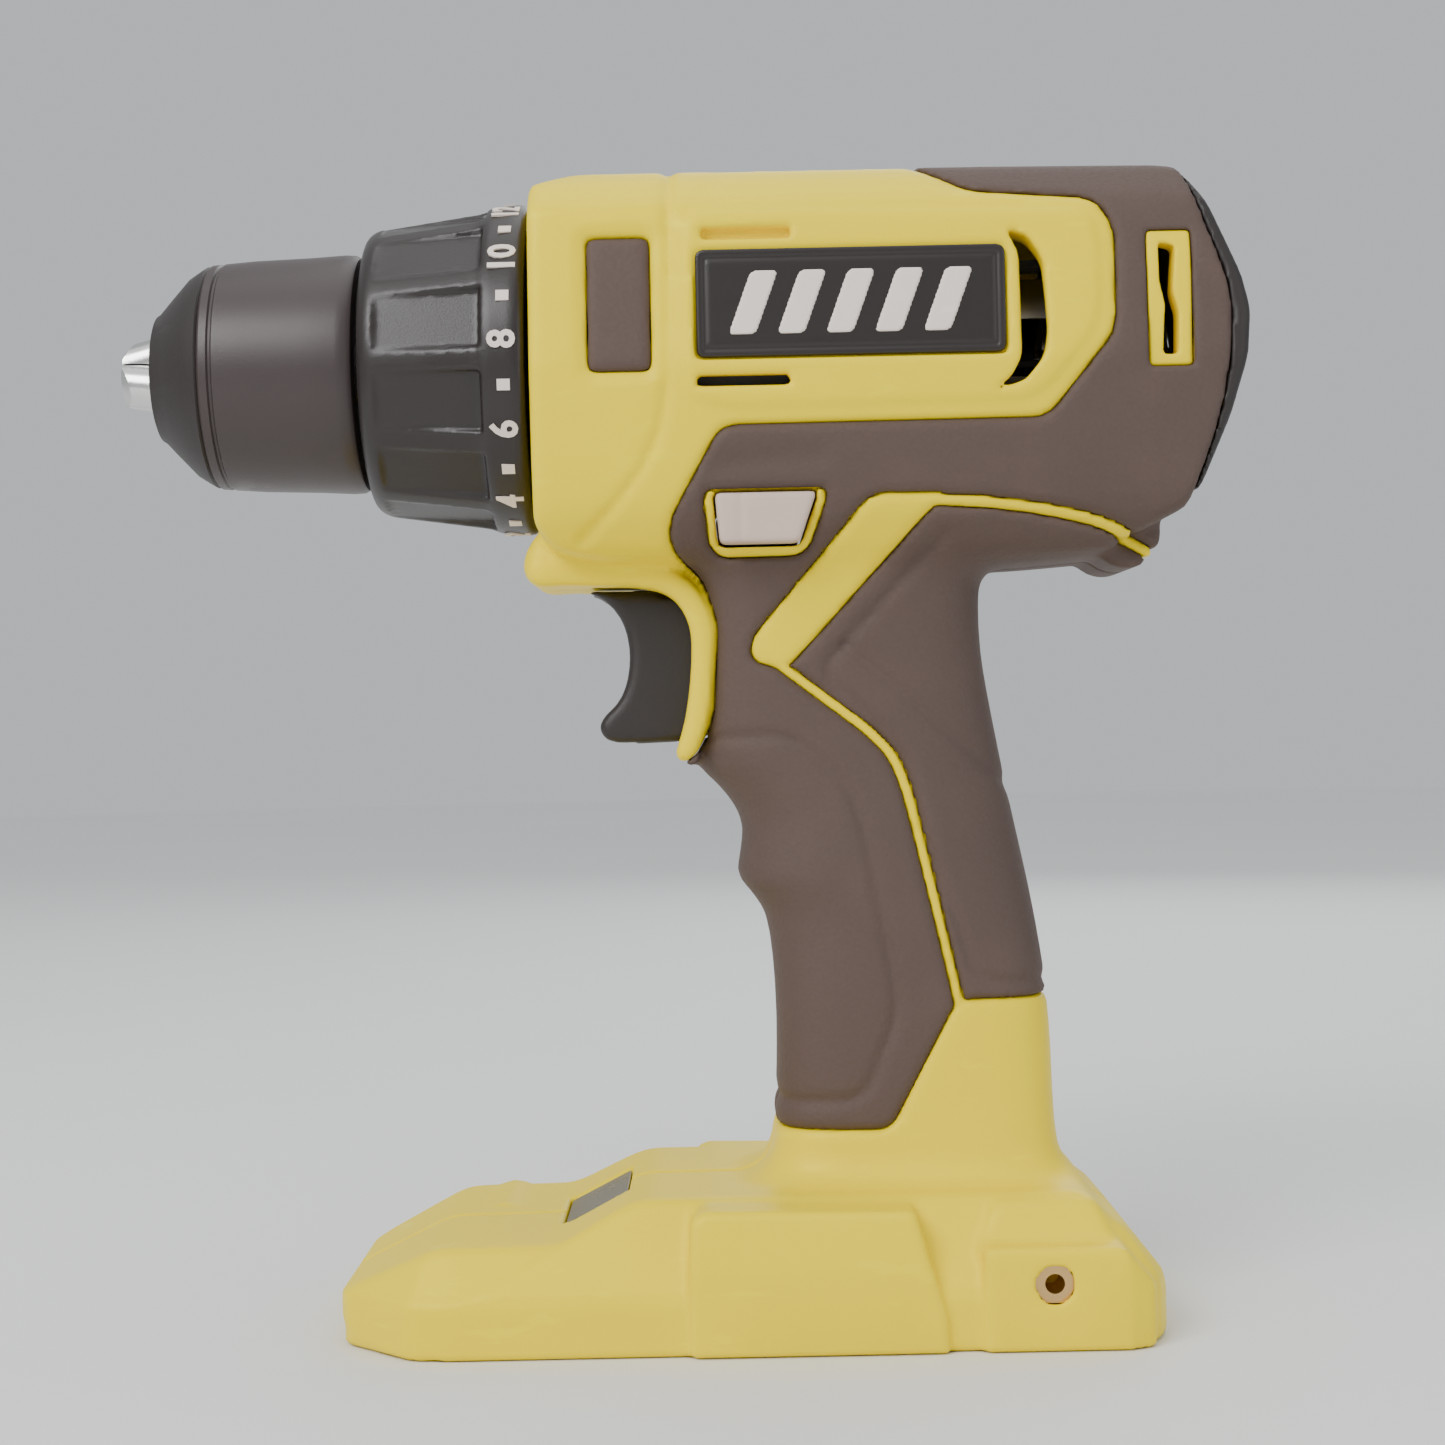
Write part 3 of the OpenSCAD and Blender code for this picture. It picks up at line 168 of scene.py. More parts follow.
def soften(points, reach=2.0, closed=True):
    """Rounds the corners of an outline, each from at most reach millimetres away."""
    p = np.array(points, dtype=float)
    out = [] if closed else [p[0]]
    for i in range(0 if closed else 1, len(p) if closed else len(p) - 1):
        back, ahead = p[i - 1] - p[i], p[(i + 1) % len(p)] - p[i]
        a = p[i] + back * min(reach / np.hypot(*back), 0.48)
        b = p[i] + ahead * min(reach / np.hypot(*ahead), 0.48)
        out += [(1 - t) ** 2 * a + 2 * t * (1 - t) * p[i] + t * t * b for t in (0, 0.3, 0.7, 1)]
    return np.array(out if closed else out + [p[-1]])


def nearest_edge(points, a, b, closed):
    """Distance from every place (a, b) to a line of points, and how often a ray crosses it."""
    ends = np.roll(points, -1, axis=0) if closed else points[1:]
    a, b = np.broadcast_arrays(a, b)
    best = np.full(a.shape, 1e9, dtype=np.float32)
    inside = np.zeros(a.shape, dtype=bool)
    for (px, py), (qx, qy) in zip(points, ends):
        ex, ey = qx - px, qy - py
        length = ex * ex + ey * ey
        if length < 1e-12:
            continue
        wx, wy = a - px, b - py
        t = np.clip((wx * ex + wy * ey) / length, 0, 1)
        best = np.minimum(best, (wx - t * ex) ** 2 + (wy - t * ey) ** 2)
        if py != qy:
            inside ^= ((py > b) != (qy > b)) & (wx < ex * wy / ey)
    return np.sqrt(best), inside


def outline(points, a, b, reach=2.0):
    """Signed distance to a softened closed outline, negative inside."""
    distance, inside = nearest_edge(soften(points, reach), a, b, True)
    return np.where(inside, -distance, distance)


def stroke(points, a, b, half, reach=6.0):
    """Signed distance to a band drawn along an open line."""
    return nearest_edge(soften(points, reach, closed=False), a, b, False)[0] - half


def both(a, b, round_by=0.0):
    """The space in both fields, with the edge between them rounded."""
    if not round_by:
        return np.maximum(a, b)
    h = np.clip(0.5 + 0.5 * (a - b) / round_by, 0, 1)
    return b + (a - b) * h + round_by * h * (1 - h)


def either(a, b, round_by=0.0):
    """The space in one field or the other, with a fillet between them."""
    return -both(-a, -b, round_by)


def brick(g, u, y, z, round_by=0.0):
    """A block from low to high along each axis."""
    f = both(np.abs(g.u - (u[0] + u[1]) / 2) - (u[1] - u[0]) / 2,
             np.abs(g.y - (y[0] + y[1]) / 2) - (y[1] - y[0]) / 2, round_by)
    return both(f, np.abs(g.z - (z[0] + z[1]) / 2) - (z[1] - z[0]) / 2, round_by)


def dip(distance, width):
    """A rounded groove, 1 deep, where a distance passes through zero."""
    return np.exp(-(distance / width) ** 2)


CORNERS = [(i, j, k) for i in (0, 1) for j in (0, 1) for k in (0, 1)]
EDGES = [(a, b) for a in range(8) for b in range(a + 1, 8)
         if sum(x != y for x, y in zip(CORNERS[a], CORNERS[b])) == 1]


def surface(field, g):
    """Vertices and quads of the zero level: one vertex in each lattice cell that it crosses."""
    field = np.array(np.broadcast_to(field, g.shape), dtype=np.float32)
    for axis in range(3):
        for end in (0, -1):
            np.moveaxis(field, axis, 0)[end] = g.pitch
    full = field < 0
    n = np.array(field.shape) - 1
    count = sum(full[i:i + n[0], j:j + n[1], k:k + n[2]].astype(np.int8) for i, j, k in CORNERS)
    cells = np.argwhere((count > 0) & (count < 8))
    number = np.full(tuple(n), -1, dtype=np.int64)
    number[tuple(cells.T)] = np.arange(len(cells))
    value = np.stack([field[tuple((cells + c).T)] for c in np.array(CORNERS)], axis=1)
    total = np.zeros((len(cells), 3))
    hits = np.zeros(len(cells))
    for a, b in EDGES:
        crossed = (value[:, a] < 0) != (value[:, b] < 0)
        va, vb = value[crossed, a], value[crossed, b]
        t = (va / (va - vb))[:, None]
        total[crossed] += (1 - t) * CORNERS[a] + t * np.array(CORNERS[b])
        hits[crossed] += 1
    verts = (cells + total / hits[:, None]) * g.pitch + g.start
    quads = []
    for axis in range(3):
        ahead = np.roll(full, -1, axis=axis)
        cut = [slice(1, -1)] * 3
        edge = np.argwhere((full != ahead)[tuple(cut)]) + 1
        s, t = np.eye(3, dtype=int)[(axis + 1) % 3], np.eye(3, dtype=int)[(axis + 2) % 3]
        ring = np.stack([number[tuple((edge - d).T)] for d in (s * 0, s, s + t, t)], axis=1)
        turn = full[tuple(edge.T)]
        ring[turn] = ring[turn][:, ::-1]
        quads.append(ring[:, ::-1])
    return verts, np.vstack(quads)


def add_to_scene(name, data):
    """A new object of the scene that holds the given data."""
    ob = bpy.data.objects.new(name, data)
    bpy.context.scene.collection.objects.link(ob)
    return ob


def add_mesh(name, verts_mm, faces, body, finish, nodes=(), smooth=True):
    """Makes a piece from millimetre vertices in the drill's own frame and lets it ride."""
    mesh = bpy.data.meshes.new(name)
    v = np.array(verts_mm, dtype=float) * MM
    mesh.from_pydata(v.tolist(), [], [list(map(int, f)) for f in faces])
    mesh.validate()
    mesh.update()
    if smooth:
        mesh.shade_smooth()
    mesh.materials.append(finish)
    piece = add_to_scene(name, mesh)
    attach(piece, body)
    if nodes:
        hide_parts(*nodes)
    return piece


def add_field(name, field, g, body, finish, nodes=(), keep=1.0):
    """Makes a piece from a field; keep is the share of faces left after thinning."""
    verts, quads = surface(field, g)
    verts[:, 0] += FRONT
    piece = add_mesh(name, verts, quads, body, finish, nodes)
    if keep < 1:
        thin = piece.modifiers.new("thin", "DECIMATE")
        thin.ratio = keep
        bake_modifiers(piece)
    return piece


def bake_modifiers(piece):
    """Replaces the piece's mesh with what its modifiers make of it."""
    solved = piece.evaluated_get(bpy.context.evaluated_depsgraph_get())
    mesh = bpy.data.meshes.new_from_object(solved)
    piece.modifiers.clear()
    old = piece.data
    piece.data = mesh
    mesh.name = old.name
    bpy.data.meshes.remove(old)


def lathe(profile, turns=128):
    """Vertices and faces of a closed profile of (u, radius) turned about the chuck's axis."""
    n = len(profile)
    verts, faces = [], []
    for i in range(turns):
        a = 2 * math.pi * i / turns
        verts += [(FRONT + u, r * math.sin(a), AXIS_Z + r * math.cos(a)) for u, r in profile]
        j = (i + 1) % turns
        faces += [(i * n + k, i * n + (k + 1) % n, j * n + (k + 1) % n, j * n + k)
                  for k in range(n)]
    return verts, faces


# ------------------------------------------------------------------ shader expressions
class Value:
    """A shader socket that can be used in arithmetic."""

    def __init__(self, shader, socket):
        self.shader, self.socket = shader, socket

    def math(self, operation, a, b):
        return self.shader.node("ShaderNodeMath", {"operation": operation}, {0: a, 1: b})

    def __add__(self, other):
        return self.math("ADD", self, other)

    def __radd__(self, other):
        return self.math("ADD", other, self)

    def __sub__(self, other):
        return self.math("SUBTRACT", self, other)

    def __rsub__(self, other):
        return self.math("SUBTRACT", other, self)

    def __mul__(self, other):
        return self.math("MULTIPLY", self, other)

    def __rmul__(self, other):
        return self.math("MULTIPLY", other, self)

    def __pow__(self, other):
        return self.math("POWER", self, other)

    def above(self, edge, width):
        """0 below an edge and 1 above it, with a soft step."""
        return self.shader.node("ShaderNodeMapRange", {"interpolation_type": "SMOOTHSTEP"},
                                {0: self, 1: edge - width, 2: edge + width})


class Shader:
    """A material whose nodes are added by calls."""

    def __init__(self, name):
        self.material = bpy.data.materials.new(name)
        self.material.use_nodes = True
        self.tree = self.material.node_tree
        self.surface = self.tree.nodes["Principled BSDF"]
        self.place = self.node("ShaderNodeTexCoord", out="Object")

    def node(self, kind, settings=None, inputs=None, out=0):
        made = self.tree.nodes.new(kind)
        for key, value in (settings or {}).items():
            setattr(made, key, value)
        for key, value in (inputs or {}).items():
            self.feed(made.inputs[key], value)
        return Value(self, made.outputs[out])

    def feed(self, socket, value):
        if isinstance(value, Value):
            self.tree.links.new(value.socket, socket)
        else:
            socket.default_value = value

    def noise(self, scale, detail=2.0, stretch=None):
        return self.node("ShaderNodeTexNoise", None,
                         {"Vector": self.stretched(stretch), "Scale": scale, "Detail": detail})

    def cells(self, scale, feature="F1", stretch=None):
        return self.node("ShaderNodeTexVoronoi", {"feature": feature},
                         {"Vector": self.stretched(stretch), "Scale": scale})

    def wave(self, scale, direction="X", kind="BANDS"):
        key = "bands_direction" if kind == "BANDS" else "rings_direction"
        return self.node("ShaderNodeTexWave", {"wave_type": kind, key: direction},
                         {"Vector": self.place, "Scale": scale})

    def stretched(self, stretch):
        if stretch is None:
            return self.place
        return self.node("ShaderNodeVectorMath", {"operation": "MULTIPLY"},
                         {0: self.place, 1: stretch})

    def mix(self, share, a, b):
        return self.node("ShaderNodeMix", {"data_type": "RGBA"}, {0: share, 6: a, 7: b}, out=2)

    def bump(self, height, depth):
        return self.node("ShaderNodeBump", None,
                         {"Height": height, "Distance": depth, "Strength": 1.0})

    def set(self, **sockets):
        for key, value in sockets.items():
            self.feed(self.surface.inputs[key.replace("_", " ")], value)
        return self.material


def rgba(c, factor=1.0):
    """A colour made lighter or darker, with full opacity."""
    return tuple(min(x * factor, 1.0) for x in c) + (1.0,)


def moulded(name, c, rough, grain=2600.0, depth=0.00003, gloss=0.5, sheen=(1, 1, 1, 1)):
    """Moulded plastic: an eroded grain, faint flow marks and handling scuffs."""
    s = Shader(name)
    tint = s.noise(22.0, 3.0)
    scuff = s.noise(95.0, 6.0, (1.0, 1.0, 3.2)).above(0.66, 0.05)
    fine = s.noise(grain, 2.0)
    base = s.mix(tint, rgba(c, 0.93), rgba(c, 1.05))
    return s.set(Base_Color=s.mix(scuff * 0.22, base, rgba(c, 1.28)),
                 Roughness=rough + fine * 0.08 - scuff * 0.06 + tint * 0.05,
                 Specular_IOR_Level=gloss, Specular_Tint=sheen,
                 Normal=s.bump(fine + scuff * 0.3, depth))


def rubber(name, c):
    """Soft overmould: a leathery pebble with dust held in it."""
    s = Shader(name)
    pebble = s.cells(1500.0, "SMOOTH_F1")
    dust = s.noise(60.0, 5.0)
    tint = s.noise(18.0, 2.0)
    base = s.mix(tint, rgba(c, 0.90), rgba(c, 1.10))
    return s.set(Base_Color=s.mix(dust.above(0.60, 0.14) * 0.20, base, rgba(c, 1.5)),
                 Roughness=0.62 + pebble * 0.14 + dust * 0.08,
                 Normal=s.bump(pebble + dust * 0.4, 0.00006))


def turned(name, c, rough, scale=900.0, metal=1.0):
    """Turned or ground steel: fine rings about the axis and a few darker patches."""
    s = Shader(name)
    ring = s.noise(scale, 2.0, (1.0, 0.03, 0.03))
    patch = s.noise(70.0, 4.0)
    return s.set(Base_Color=s.mix(patch, rgba(c, 0.82), rgba(c, 1.08)), Metallic=metal,
                 Roughness=rough + ring * 0.14 + patch * 0.08,
                 Normal=s.bump(ring, 0.000012))


def cast(name, c, rough, metal=0.0, scale=1400.0, depth=0.00004):
    """Sintered, cast or pressed matter with a pitted skin."""
    s = Shader(name)
    pits = s.cells(scale)
    patch = s.noise(120.0, 4.0)
    return s.set(Base_Color=s.mix(patch, rgba(c, 0.78), rgba(c, 1.15)), Metallic=metal,
                 Roughness=rough + patch * 0.14, Normal=s.bump(pits, depth))


def wound(name, c):
    """Enamelled wire laid in turns along the armature."""
    s = Shader(name)
    turn = s.wave(360.0, "Y")
    patch = s.noise(90.0, 3.0)
    return s.set(Base_Color=s.mix(turn, rgba(c, 0.55), rgba(c, 1.1)), Metallic=0.8,
                 Roughness=0.28 + patch * 0.15, Normal=s.bump(turn, 0.0002))


def stacked(name, c):
    """A stack of thin steel laminations."""
    s = Shader(name)
    sheet = s.wave(330.0, "X")
    patch = s.noise(90.0, 3.0)
    return s.set(Base_Color=s.mix(sheet, rgba(c, 0.6), rgba(c, 1.1)), Metallic=0.9,
                 Roughness=0.36 + patch * 0.16, Normal=s.bump(sheet, 0.0001))


def frosted(name, c):
    """Frosted clear plastic with a moulded prism pattern behind it."""
    s = Shader(name)
    prism = s.wave(260.0, "Y")
    haze = s.noise(150.0, 3.0)
    return s.set(Base_Color=s.mix(haze, rgba(c, 0.85), rgba(c, 1.1)), Roughness=0.22 + haze * 0.15,
                 Transmission_Weight=0.35, Normal=s.bump(prism, 0.00012))


FINISHES = {
    "yellow_plastic": (moulded, "yellow", 0.36, 2400.0, 0.000022, 0.4, (1.0, 0.82, 0.25, 1)),
    "grey_overmould": (rubber, "grey"),
    "dark_plastic": (moulded, "dark", 0.44, 2000.0, 0.00003),
    "badge_black": (moulded, "dark", 0.30, 3000.0, 0.00001),
    "collar_plastic": (moulded, "collar", 0.30, 2800.0, 0.00002),
    "sleeve_plastic": (moulded, "sleeve", 0.34, 2600.0, 0.00002),
    "beige_plastic": (moulded, "beige", 0.42, 2200.0, 0.00003),
    "pale_mark": (moulded, "mark", 0.5, 3000.0, 0.00002),
    "clear_lens": (frosted, (0.20, 0.17, 0.10)),
    "board_green": (moulded, (0.03, 0.14, 0.05), 0.35),
    "contact_brass": (turned, (0.72, 0.47, 0.20), 0.24, 700.0),
    "steel": (turned, (0.50, 0.49, 0.47), 0.28),
    "hard_steel": (turned, (0.74, 0.73, 0.71), 0.14, 1400.0),
    "black_steel": (turned, (0.045, 0.043, 0.041), 0.34, 1200.0, 0.6),
    "gear_steel": (cast, (0.40, 0.385, 0.365), 0.34, 1.0),
    "case_nylon": (cast, (0.085, 0.08, 0.074), 0.48),
    "magnet_ferrite": (cast, (0.07, 0.07, 0.075), 0.6, 0.2),
    "copper_wire": (wound, (0.62, 0.25, 0.09)),
    "carbon": (cast, (0.025, 0.025, 0.027), 0.5, 0.1),
    "lead_pvc": (moulded, (0.30, 0.018, 0.013), 0.32, 1800.0),
    "laminations": (stacked, (0.42, 0.41, 0.40)),
}


@functools.lru_cache(maxsize=None)
def material(slot):
    """The finish of a material slot, made the first time that it is asked for."""
    recipe, tone, *settings = FINISHES[slot]
    if isinstance(tone, str):
        tone = tuple(getattr(bpy.context.scene.drill_colours, tone))
    return recipe(slot, tone, *settings)


# ------------------------------------------------------------------ form of the housing
FOOT_LENGTH = 141
SIDE_BLOCK = (24.0, 66.9)
REAR_BLOCK = (72.5, 101.8)
SCREW_WELL = 3.05
BADGE_NEST = 1.25
FINE = 0.35
EVERYWHERE = (-99, 99)

# The barrel seen from the side as (u, d) and from behind as (y, d)
BARREL = [(0, 27.8), (0.3, 29.4), (7.5, 32.6), (9.5, 32.9), (40, 32.9), (70, 32.7), (108, 31.6),
          (112.2, 30.6), (115.8, 23), (121.2, 10), (122.5, 4), (121.8, -4), (119, -13.5),
          (114, -25.5), (111, -28.8), (105, -31.8), (98, -36.2), (83, -37.9), (12, -37.4),
          (3, -34), (0, -29.5)]
SECTION = [(0, 32.9), (14, 32.8), (21.5, 29.8), (26.6, 25.2), (28.4, 22.6), (29.6, 13), (30.9, -3.2),
           (30.8, -4.2), (29.9, -12), (29.0, -20), (27.2, -28), (22.0, -34.8), (12, -37.6),
           (0, -37.9)]

# The handle at each height z: u of its front and back, how square it is, and its half width
GRIP_FRONT = [(16, 36.0), (35, 39.9), (55, 40.4), (70, 39.2), (74.3, 36.6), (77.8, 33.5),
              (82, 34.4), (87.5, 35.0), (93, 31.8), (98.5, 25.8), (106, 26.4), (120, 27.2),
              (131, 26.5), (150, 25)]
GRIP_BACK = [(16, 92.0), (30.5, 88.9), (54, 88.4), (72, 86.1), (90, 82.4), (108, 78.8),
             (119, 77.2), (131, 77.4), (150, 80)]
GRIP_POWER = [(16, 4.2), (56, 4.0), (72, 2.9), (94, 2.7), (104, 3.6), (130, 3.8), (150, 3)]
GRIP_HALF = [(16, 18.5), (40, 17.6), (62, 17.2), (80, 17.8), (100, 16.6), (120, 17.4),
             (134, 20.5), (150, 24)]

# The trigger's guard and the chin in front of it as (u, z), then the cap's setback as (d, back)
SURROUND = [(0.8, 131.9), (10, 131.4), (18.6, 131.3), (24.6, 129.2), (28.0, 124), (28.7, 118),
            (27.5, 106.5), (25.4, 99.8)]
CHIN = [(-3.0, 134.5), (-2.6, 131), (0.6, 129.6), (4.5, 131), (9, 136), (6, 142), (-0.5, 139)]
CAP_SETBACK = [(-60, -9), (-29.6, -9), (-29.4, 11), (-27, 10.6), (-16, 6.6), (-7, 4.6), (2, 3.8),
               (9, 4.2), (19, 8), (27, 10.4), (40, 12)]

# Outlines in side view as (u, z): the soft overmould and the yellow accents left out of it
SOFT = [(63, 206), (66, 200.5), (75, 194.6), (96.2, 192.6), (99.3, 187.4), (99.0, 169.8),
        (87.4, 155.6), (32.2, 155.3), (23.0, 139.3), (23.3, 134.8), (28.4, 130.6),
        (31.1, 122.4), (30.0, 105.8), (26.2, 98.4), (20, 97.5), (26, 60), (33, 34.0),
        (59.2, 33.9), (71.2, 56.2), (100, 56.2), (100, 120), (130, 125), (130, 206)]
ACCENT_BAND = [(57.4, 143.4), (71.0, 143.4), (67.0, 140.1), (42.8, 114.0), (36.6, 115.6),
               (36.8, 119.6)]
ACCENT_DOWN = [(41.5, 115.0), (59.4, 101.2), (62.8, 95.0), (70.9, 58.9), (71.6, 55)]
ACCENT_BACK = [(60, 142.6), (79.1, 141.6), (92, 139.4), (99, 137.3), (107.5, 132.5)]

# Button, pad, seams, panel, grooves and vents as (u, z)
BUTTON = [(30.9, 144.0), (48.3, 144.0), (45.2, 135.4), (31.7, 135.4)]
PAD = [(10.0, 187.4), (20.8, 187.4), (20.8, 164.5), (10.0, 164.5)]
FRONT_SEAM = [(24.0, 206), (24.0, 193.4), (23.7, 176.5), (23.4, 160.5), (21.0, 151.3),
              (14.9, 143.0), (8.0, 136.6)]
SIDE_PANEL = [(26.4, 191.6), (94.4, 190.4), (96.4, 186.2), (96.2, 171), (85.6, 158.6),
              (33.6, 158.2), (26.4, 160)]
FRONT_GRIP = [(24, 102.1), (43.1, 102.7), (53.3, 93.8), (56.5, 82.5), (61.1, 54.6),
              (54.7, 39.1), (34, 38.6)]
PALM_GRIP = [(70, 136.4), (48.5, 113.8), (62.9, 99.9), (67.7, 80.5), (75.0, 59.0), (94, 58.6)]
PALM_CREASE = [(53.0, 118.2), (84.0, 91.0)]
SIDE_VENT = [(80.9, 187.4), (84.6, 186.0), (87.0, 182.0), (87.6, 170), (86.9, 165.6),
             (83.6, 161.6), (78.6, 160.2), (81.4, 162.4), (83.1, 165.8), (83.0, 183)]
DENT = [(31, 148.2), (40, 149.6), (48, 149.6)]

# Start, end and pitch of the steps on top, and the slots' two ends and two heights
TOP_RIBS = (29, 76, 9.4)
SLOTS = ((29.4, 44.6, 186.6, 188.4), (28.4, 44.2, 161.7, 163.5))


def along(profile, z):
    """Reads a smooth (height, value) profile at the given heights."""
    p = soften(profile, 8, closed=False)
    return np.interp(z, p[:, 0], p[:, 1]).astype(np.float32)


def grip_form(g):
    """The handle: a rounded oblong section that follows its front, back and half width."""
    front, back, half = (along(p, g.z) for p in (GRIP_FRONT, GRIP_BACK, GRIP_HALF))
    power = along(GRIP_POWER, g.z)
    middle, reach = (front + back) / 2, (back - front) / 2
    a = np.abs(g.u - middle) / reach
    b = np.abs(g.y) / half
    q = (a ** power + b ** power) ** (1 / power) + 1e-6
    slope = np.sqrt((a ** (power - 1) / reach) ** 2 + (b ** (power - 1) / half) ** 2)
    return (q - 1) * q ** (power - 1) / (slope + 1e-3)


def foot_form(g):
    """The battery foot: its rim, its sloping decks and the blocks on its sides."""
    across = np.abs(g.y)
    front, back, half = FOOT_FRONT, FOOT_FRONT + FOOT_LENGTH, FOOT_HALF
    corners = [(front, 0), (front, 21), (front + 1.2, 24), (front + 13, half - 3.0),
               (front + 20, half - 1.9), (back - 9, half - 1.9), (back - 2, half - 7),
               (back, half - 13), (back, 0), (back, -9), (front, -9)]
    plan = outline(corners, g.u, across, 1.5)
    nose_lift = np.clip((front + 12 - g.u) / 12, 0, 1) ** 2 * 4
    rim = both(both(plan, g.z - 9.3, 1.2), nose_lift - g.z, 1.2)
    decks = both(foot_decks(g, plan, front, back), plan + 0.4)
    foot = either(either(rim, decks, 0.8), foot_blocks(g, across), 1.0)
    return both(foot, -g.z)


def foot_decks(g, plan, front, back):
    """The low front deck and the main deck behind the lamp's slope."""
    nose_slope = (front - g.u + (g.z - 9.3) * 2.1) / 2.3
    low_deck = both((plan + (g.z - 8.8) * 0.72) / 1.23, g.z - 17.2 - (g.u - front) * 0.012, 1.2)
    low_deck = both(low_deck, nose_slope, 1.2)
    lamp_slope = (g.z - 17.2 - (g.u - front - 37) * 0.52) / 1.13
    back_slope = (g.u - back + 3 + (g.z - 14) * 1.05) / 1.45
    main_deck = both(both((plan + 3.4 + (g.z - 15) * 0.62) / 1.18, g.z - 24.5, 1.4),
                     both(lamp_slope, back_slope, 1.6), 1.6)
    return either(low_deck, main_deck, 1.2)


def foot_blocks(g, across):
    """The middle and rear blocks of each side, and the shoulder over the rear one."""
    above = np.clip(g.z - 16, 0, 99)
    a, b = SIDE_BLOCK
    middle = [(a + 0.6, -9), (a, 4), (a, 16), (a + 0.4, 22.5), (a + 2.5, 24), (b - 5, 23.4),
              (b - 3, 16), (b, 6), (b + 0.3, -9)]
    lean = np.clip(g.z - 14, 0, 99)
    middle = both(outline(middle, g.u, g.z, 1.2), across - FOOT_HALF + 0.1 + lean * 0.16, 1.6)
    a, b = REAR_BLOCK
    rear = [(a, -9), (a + 0.4, 17.2), (b - 5.6, 17.0), (b, 10.4), (b, -9)]
    chamfer = np.clip(g.u - b + 5, 0, 9) * 0.5
    rear = both(outline(rear, g.u, g.z, 1.2), across - FOOT_HALF + 0.3 + chamfer, 1.4)
    shoulder = both((across + above * 0.5 - 33) / 1.1, g.z - 23.6, 1.5)
    shoulder = both(shoulder, np.abs(g.u - 84) - 13 + lean * 0.45, 2.0)
    return either(either(middle, rear, 1.0), shoulder, 1.5)


def barrel_form(g):
    """The housing's barrel: its end view and its side view, crossed."""
    far_side = [(-y, z) for y, z in SECTION[-2:0:-1]]
    return both(outline(SECTION + far_side, g.y, g.z - AXIS_Z, 3),
                outline(BARREL, g.u, g.z - AXIS_Z, 1.5), 2.2)


def with_bosses(g, body):
    """Adds the bosses of the screws that stand too near the outside."""
    for u, z in screw_places():
        r = np.sqrt((g.u - u) ** 2 + (g.z - z) ** 2)
        if z < 20:
            body = either(body, both(r - SCREW_WELL - 0.8, np.abs(g.y - 19) - 11.8, 0.4), 0.8)
        elif u > 95 and z < AXIS_Z:
            body = either(body, both(r - SCREW_WELL - 0.7, np.abs(g.y) - 13.5, 1.2), 2.5)
    return body


def outer_form(g):
    """The whole outside of the housing before its seams and windows."""
    grip = both(grip_form(g), g.z - AXIS_Z + 12)
    rim = both(stroke(SURROUND, g.u, g.z, 2.15), np.abs(g.y) - 15.2, 2.0)
    chin = both(outline(CHIN, g.u, g.z, 2.5), np.abs(g.y) - 14.5, 3.0)
    body = either(barrel_form(g), both(grip, 14 - g.z), 5.0)
    body = either(body, either(rim, chin, 2.0), 1.2)
    return with_bosses(g, either(body, foot_form(g), 6.5))


def cap_edge(z):
    """How far back the grey overmould reaches, at each height."""
    return REAR - along(CAP_SETBACK, z - AXIS_Z)


def soft_zone(g):
    """Signed distance, in side view, to the soft overmould's outline."""
    zone = outline(SOFT, g.u, g.z, 2.5)
    for points, half in ((ACCENT_DOWN, 0.85), (ACCENT_BACK, 0.95)):
        zone = np.maximum(zone, -stroke(points, g.u, g.z, half))
    zone = np.maximum(zone, -outline(ACCENT_BAND, g.u, g.z, 2.4))
    rim = np.maximum(outline(BUTTON, g.u, g.z, 1.6) - 1.9, g.z - BUTTON[0][1] - 0.6)
    return np.minimum(np.maximum(zone, -rim), outline(PAD, g.u, g.z, 1.5))


def hollow_form(g):
    """Everything cut out of the housing for what it holds."""
    wall = chosen("wall")
    back, room = REAR - 4, HALF_W - wall
    r = np.sqrt(g.y ** 2 + (g.z - AXIS_Z) ** 2)
    motor_room = both(r - room, np.abs(g.u - (wall + back) / 2) - (back - wall) / 2)
    mouth = both(r - CASE_R - 0.35, g.u - 6)
    t0, t1 = TRIGGER
    s0, s1 = SWITCH
    b0, b1 = TERMINALS
    trigger_way = brick(g, (9, 73), (t0[1] - 0.35, t1[1] + 0.35), (t0[2] - 1.2, t1[2] + 0.5), 0.4)
    switch_room = brick(g, (s0[0] - 2.5, s1[0] + 4), (-13, 13), (s0[2] - 3, s1[2] + 2))
    lead_way = brick(g, (50, 72), (-7, 7), (s1[2] - 2, AXIS_Z - room + 4))
    socket = brick(g, (b0[0] - 1, b1[0] + 1), (b0[1] - 1, b1[1] + 1), (-5, b0[2] + 0.2))
    terminal_room = brick(g, (b0[0], b1[0]), (b0[1], b1[1]), (b0[2] - 1, b1[2]))
    grip_room = both(both(grip_form(g) + wall, b1[2] - 1 - g.z), g.z - t0[2])
    half = FOOT_HALF - 4.5
    foot_room = both(brick(g, (FOOT_FRONT + 16.5, FOOT_FRONT + 131.5), (-half, half), (-5, 8), 0.5),
                     g.z - 8)
    hole = either(motor_room, mouth)
    for part in (trigger_way, switch_room, lead_way, socket, terminal_room, grip_room, foot_room):
        hole = either(hole, part)
    return hole


def lens_height(g):
    """Height above the middle plane of the sloping lamp lens."""
    low, high = LENS
    tilt = (high[2] - low[2] - 1.6) / (high[0] - low[0])
    return (g.z - low[2] - 0.8 - (g.u - low[0]) * tilt) / math.sqrt(1 + tilt ** 2)


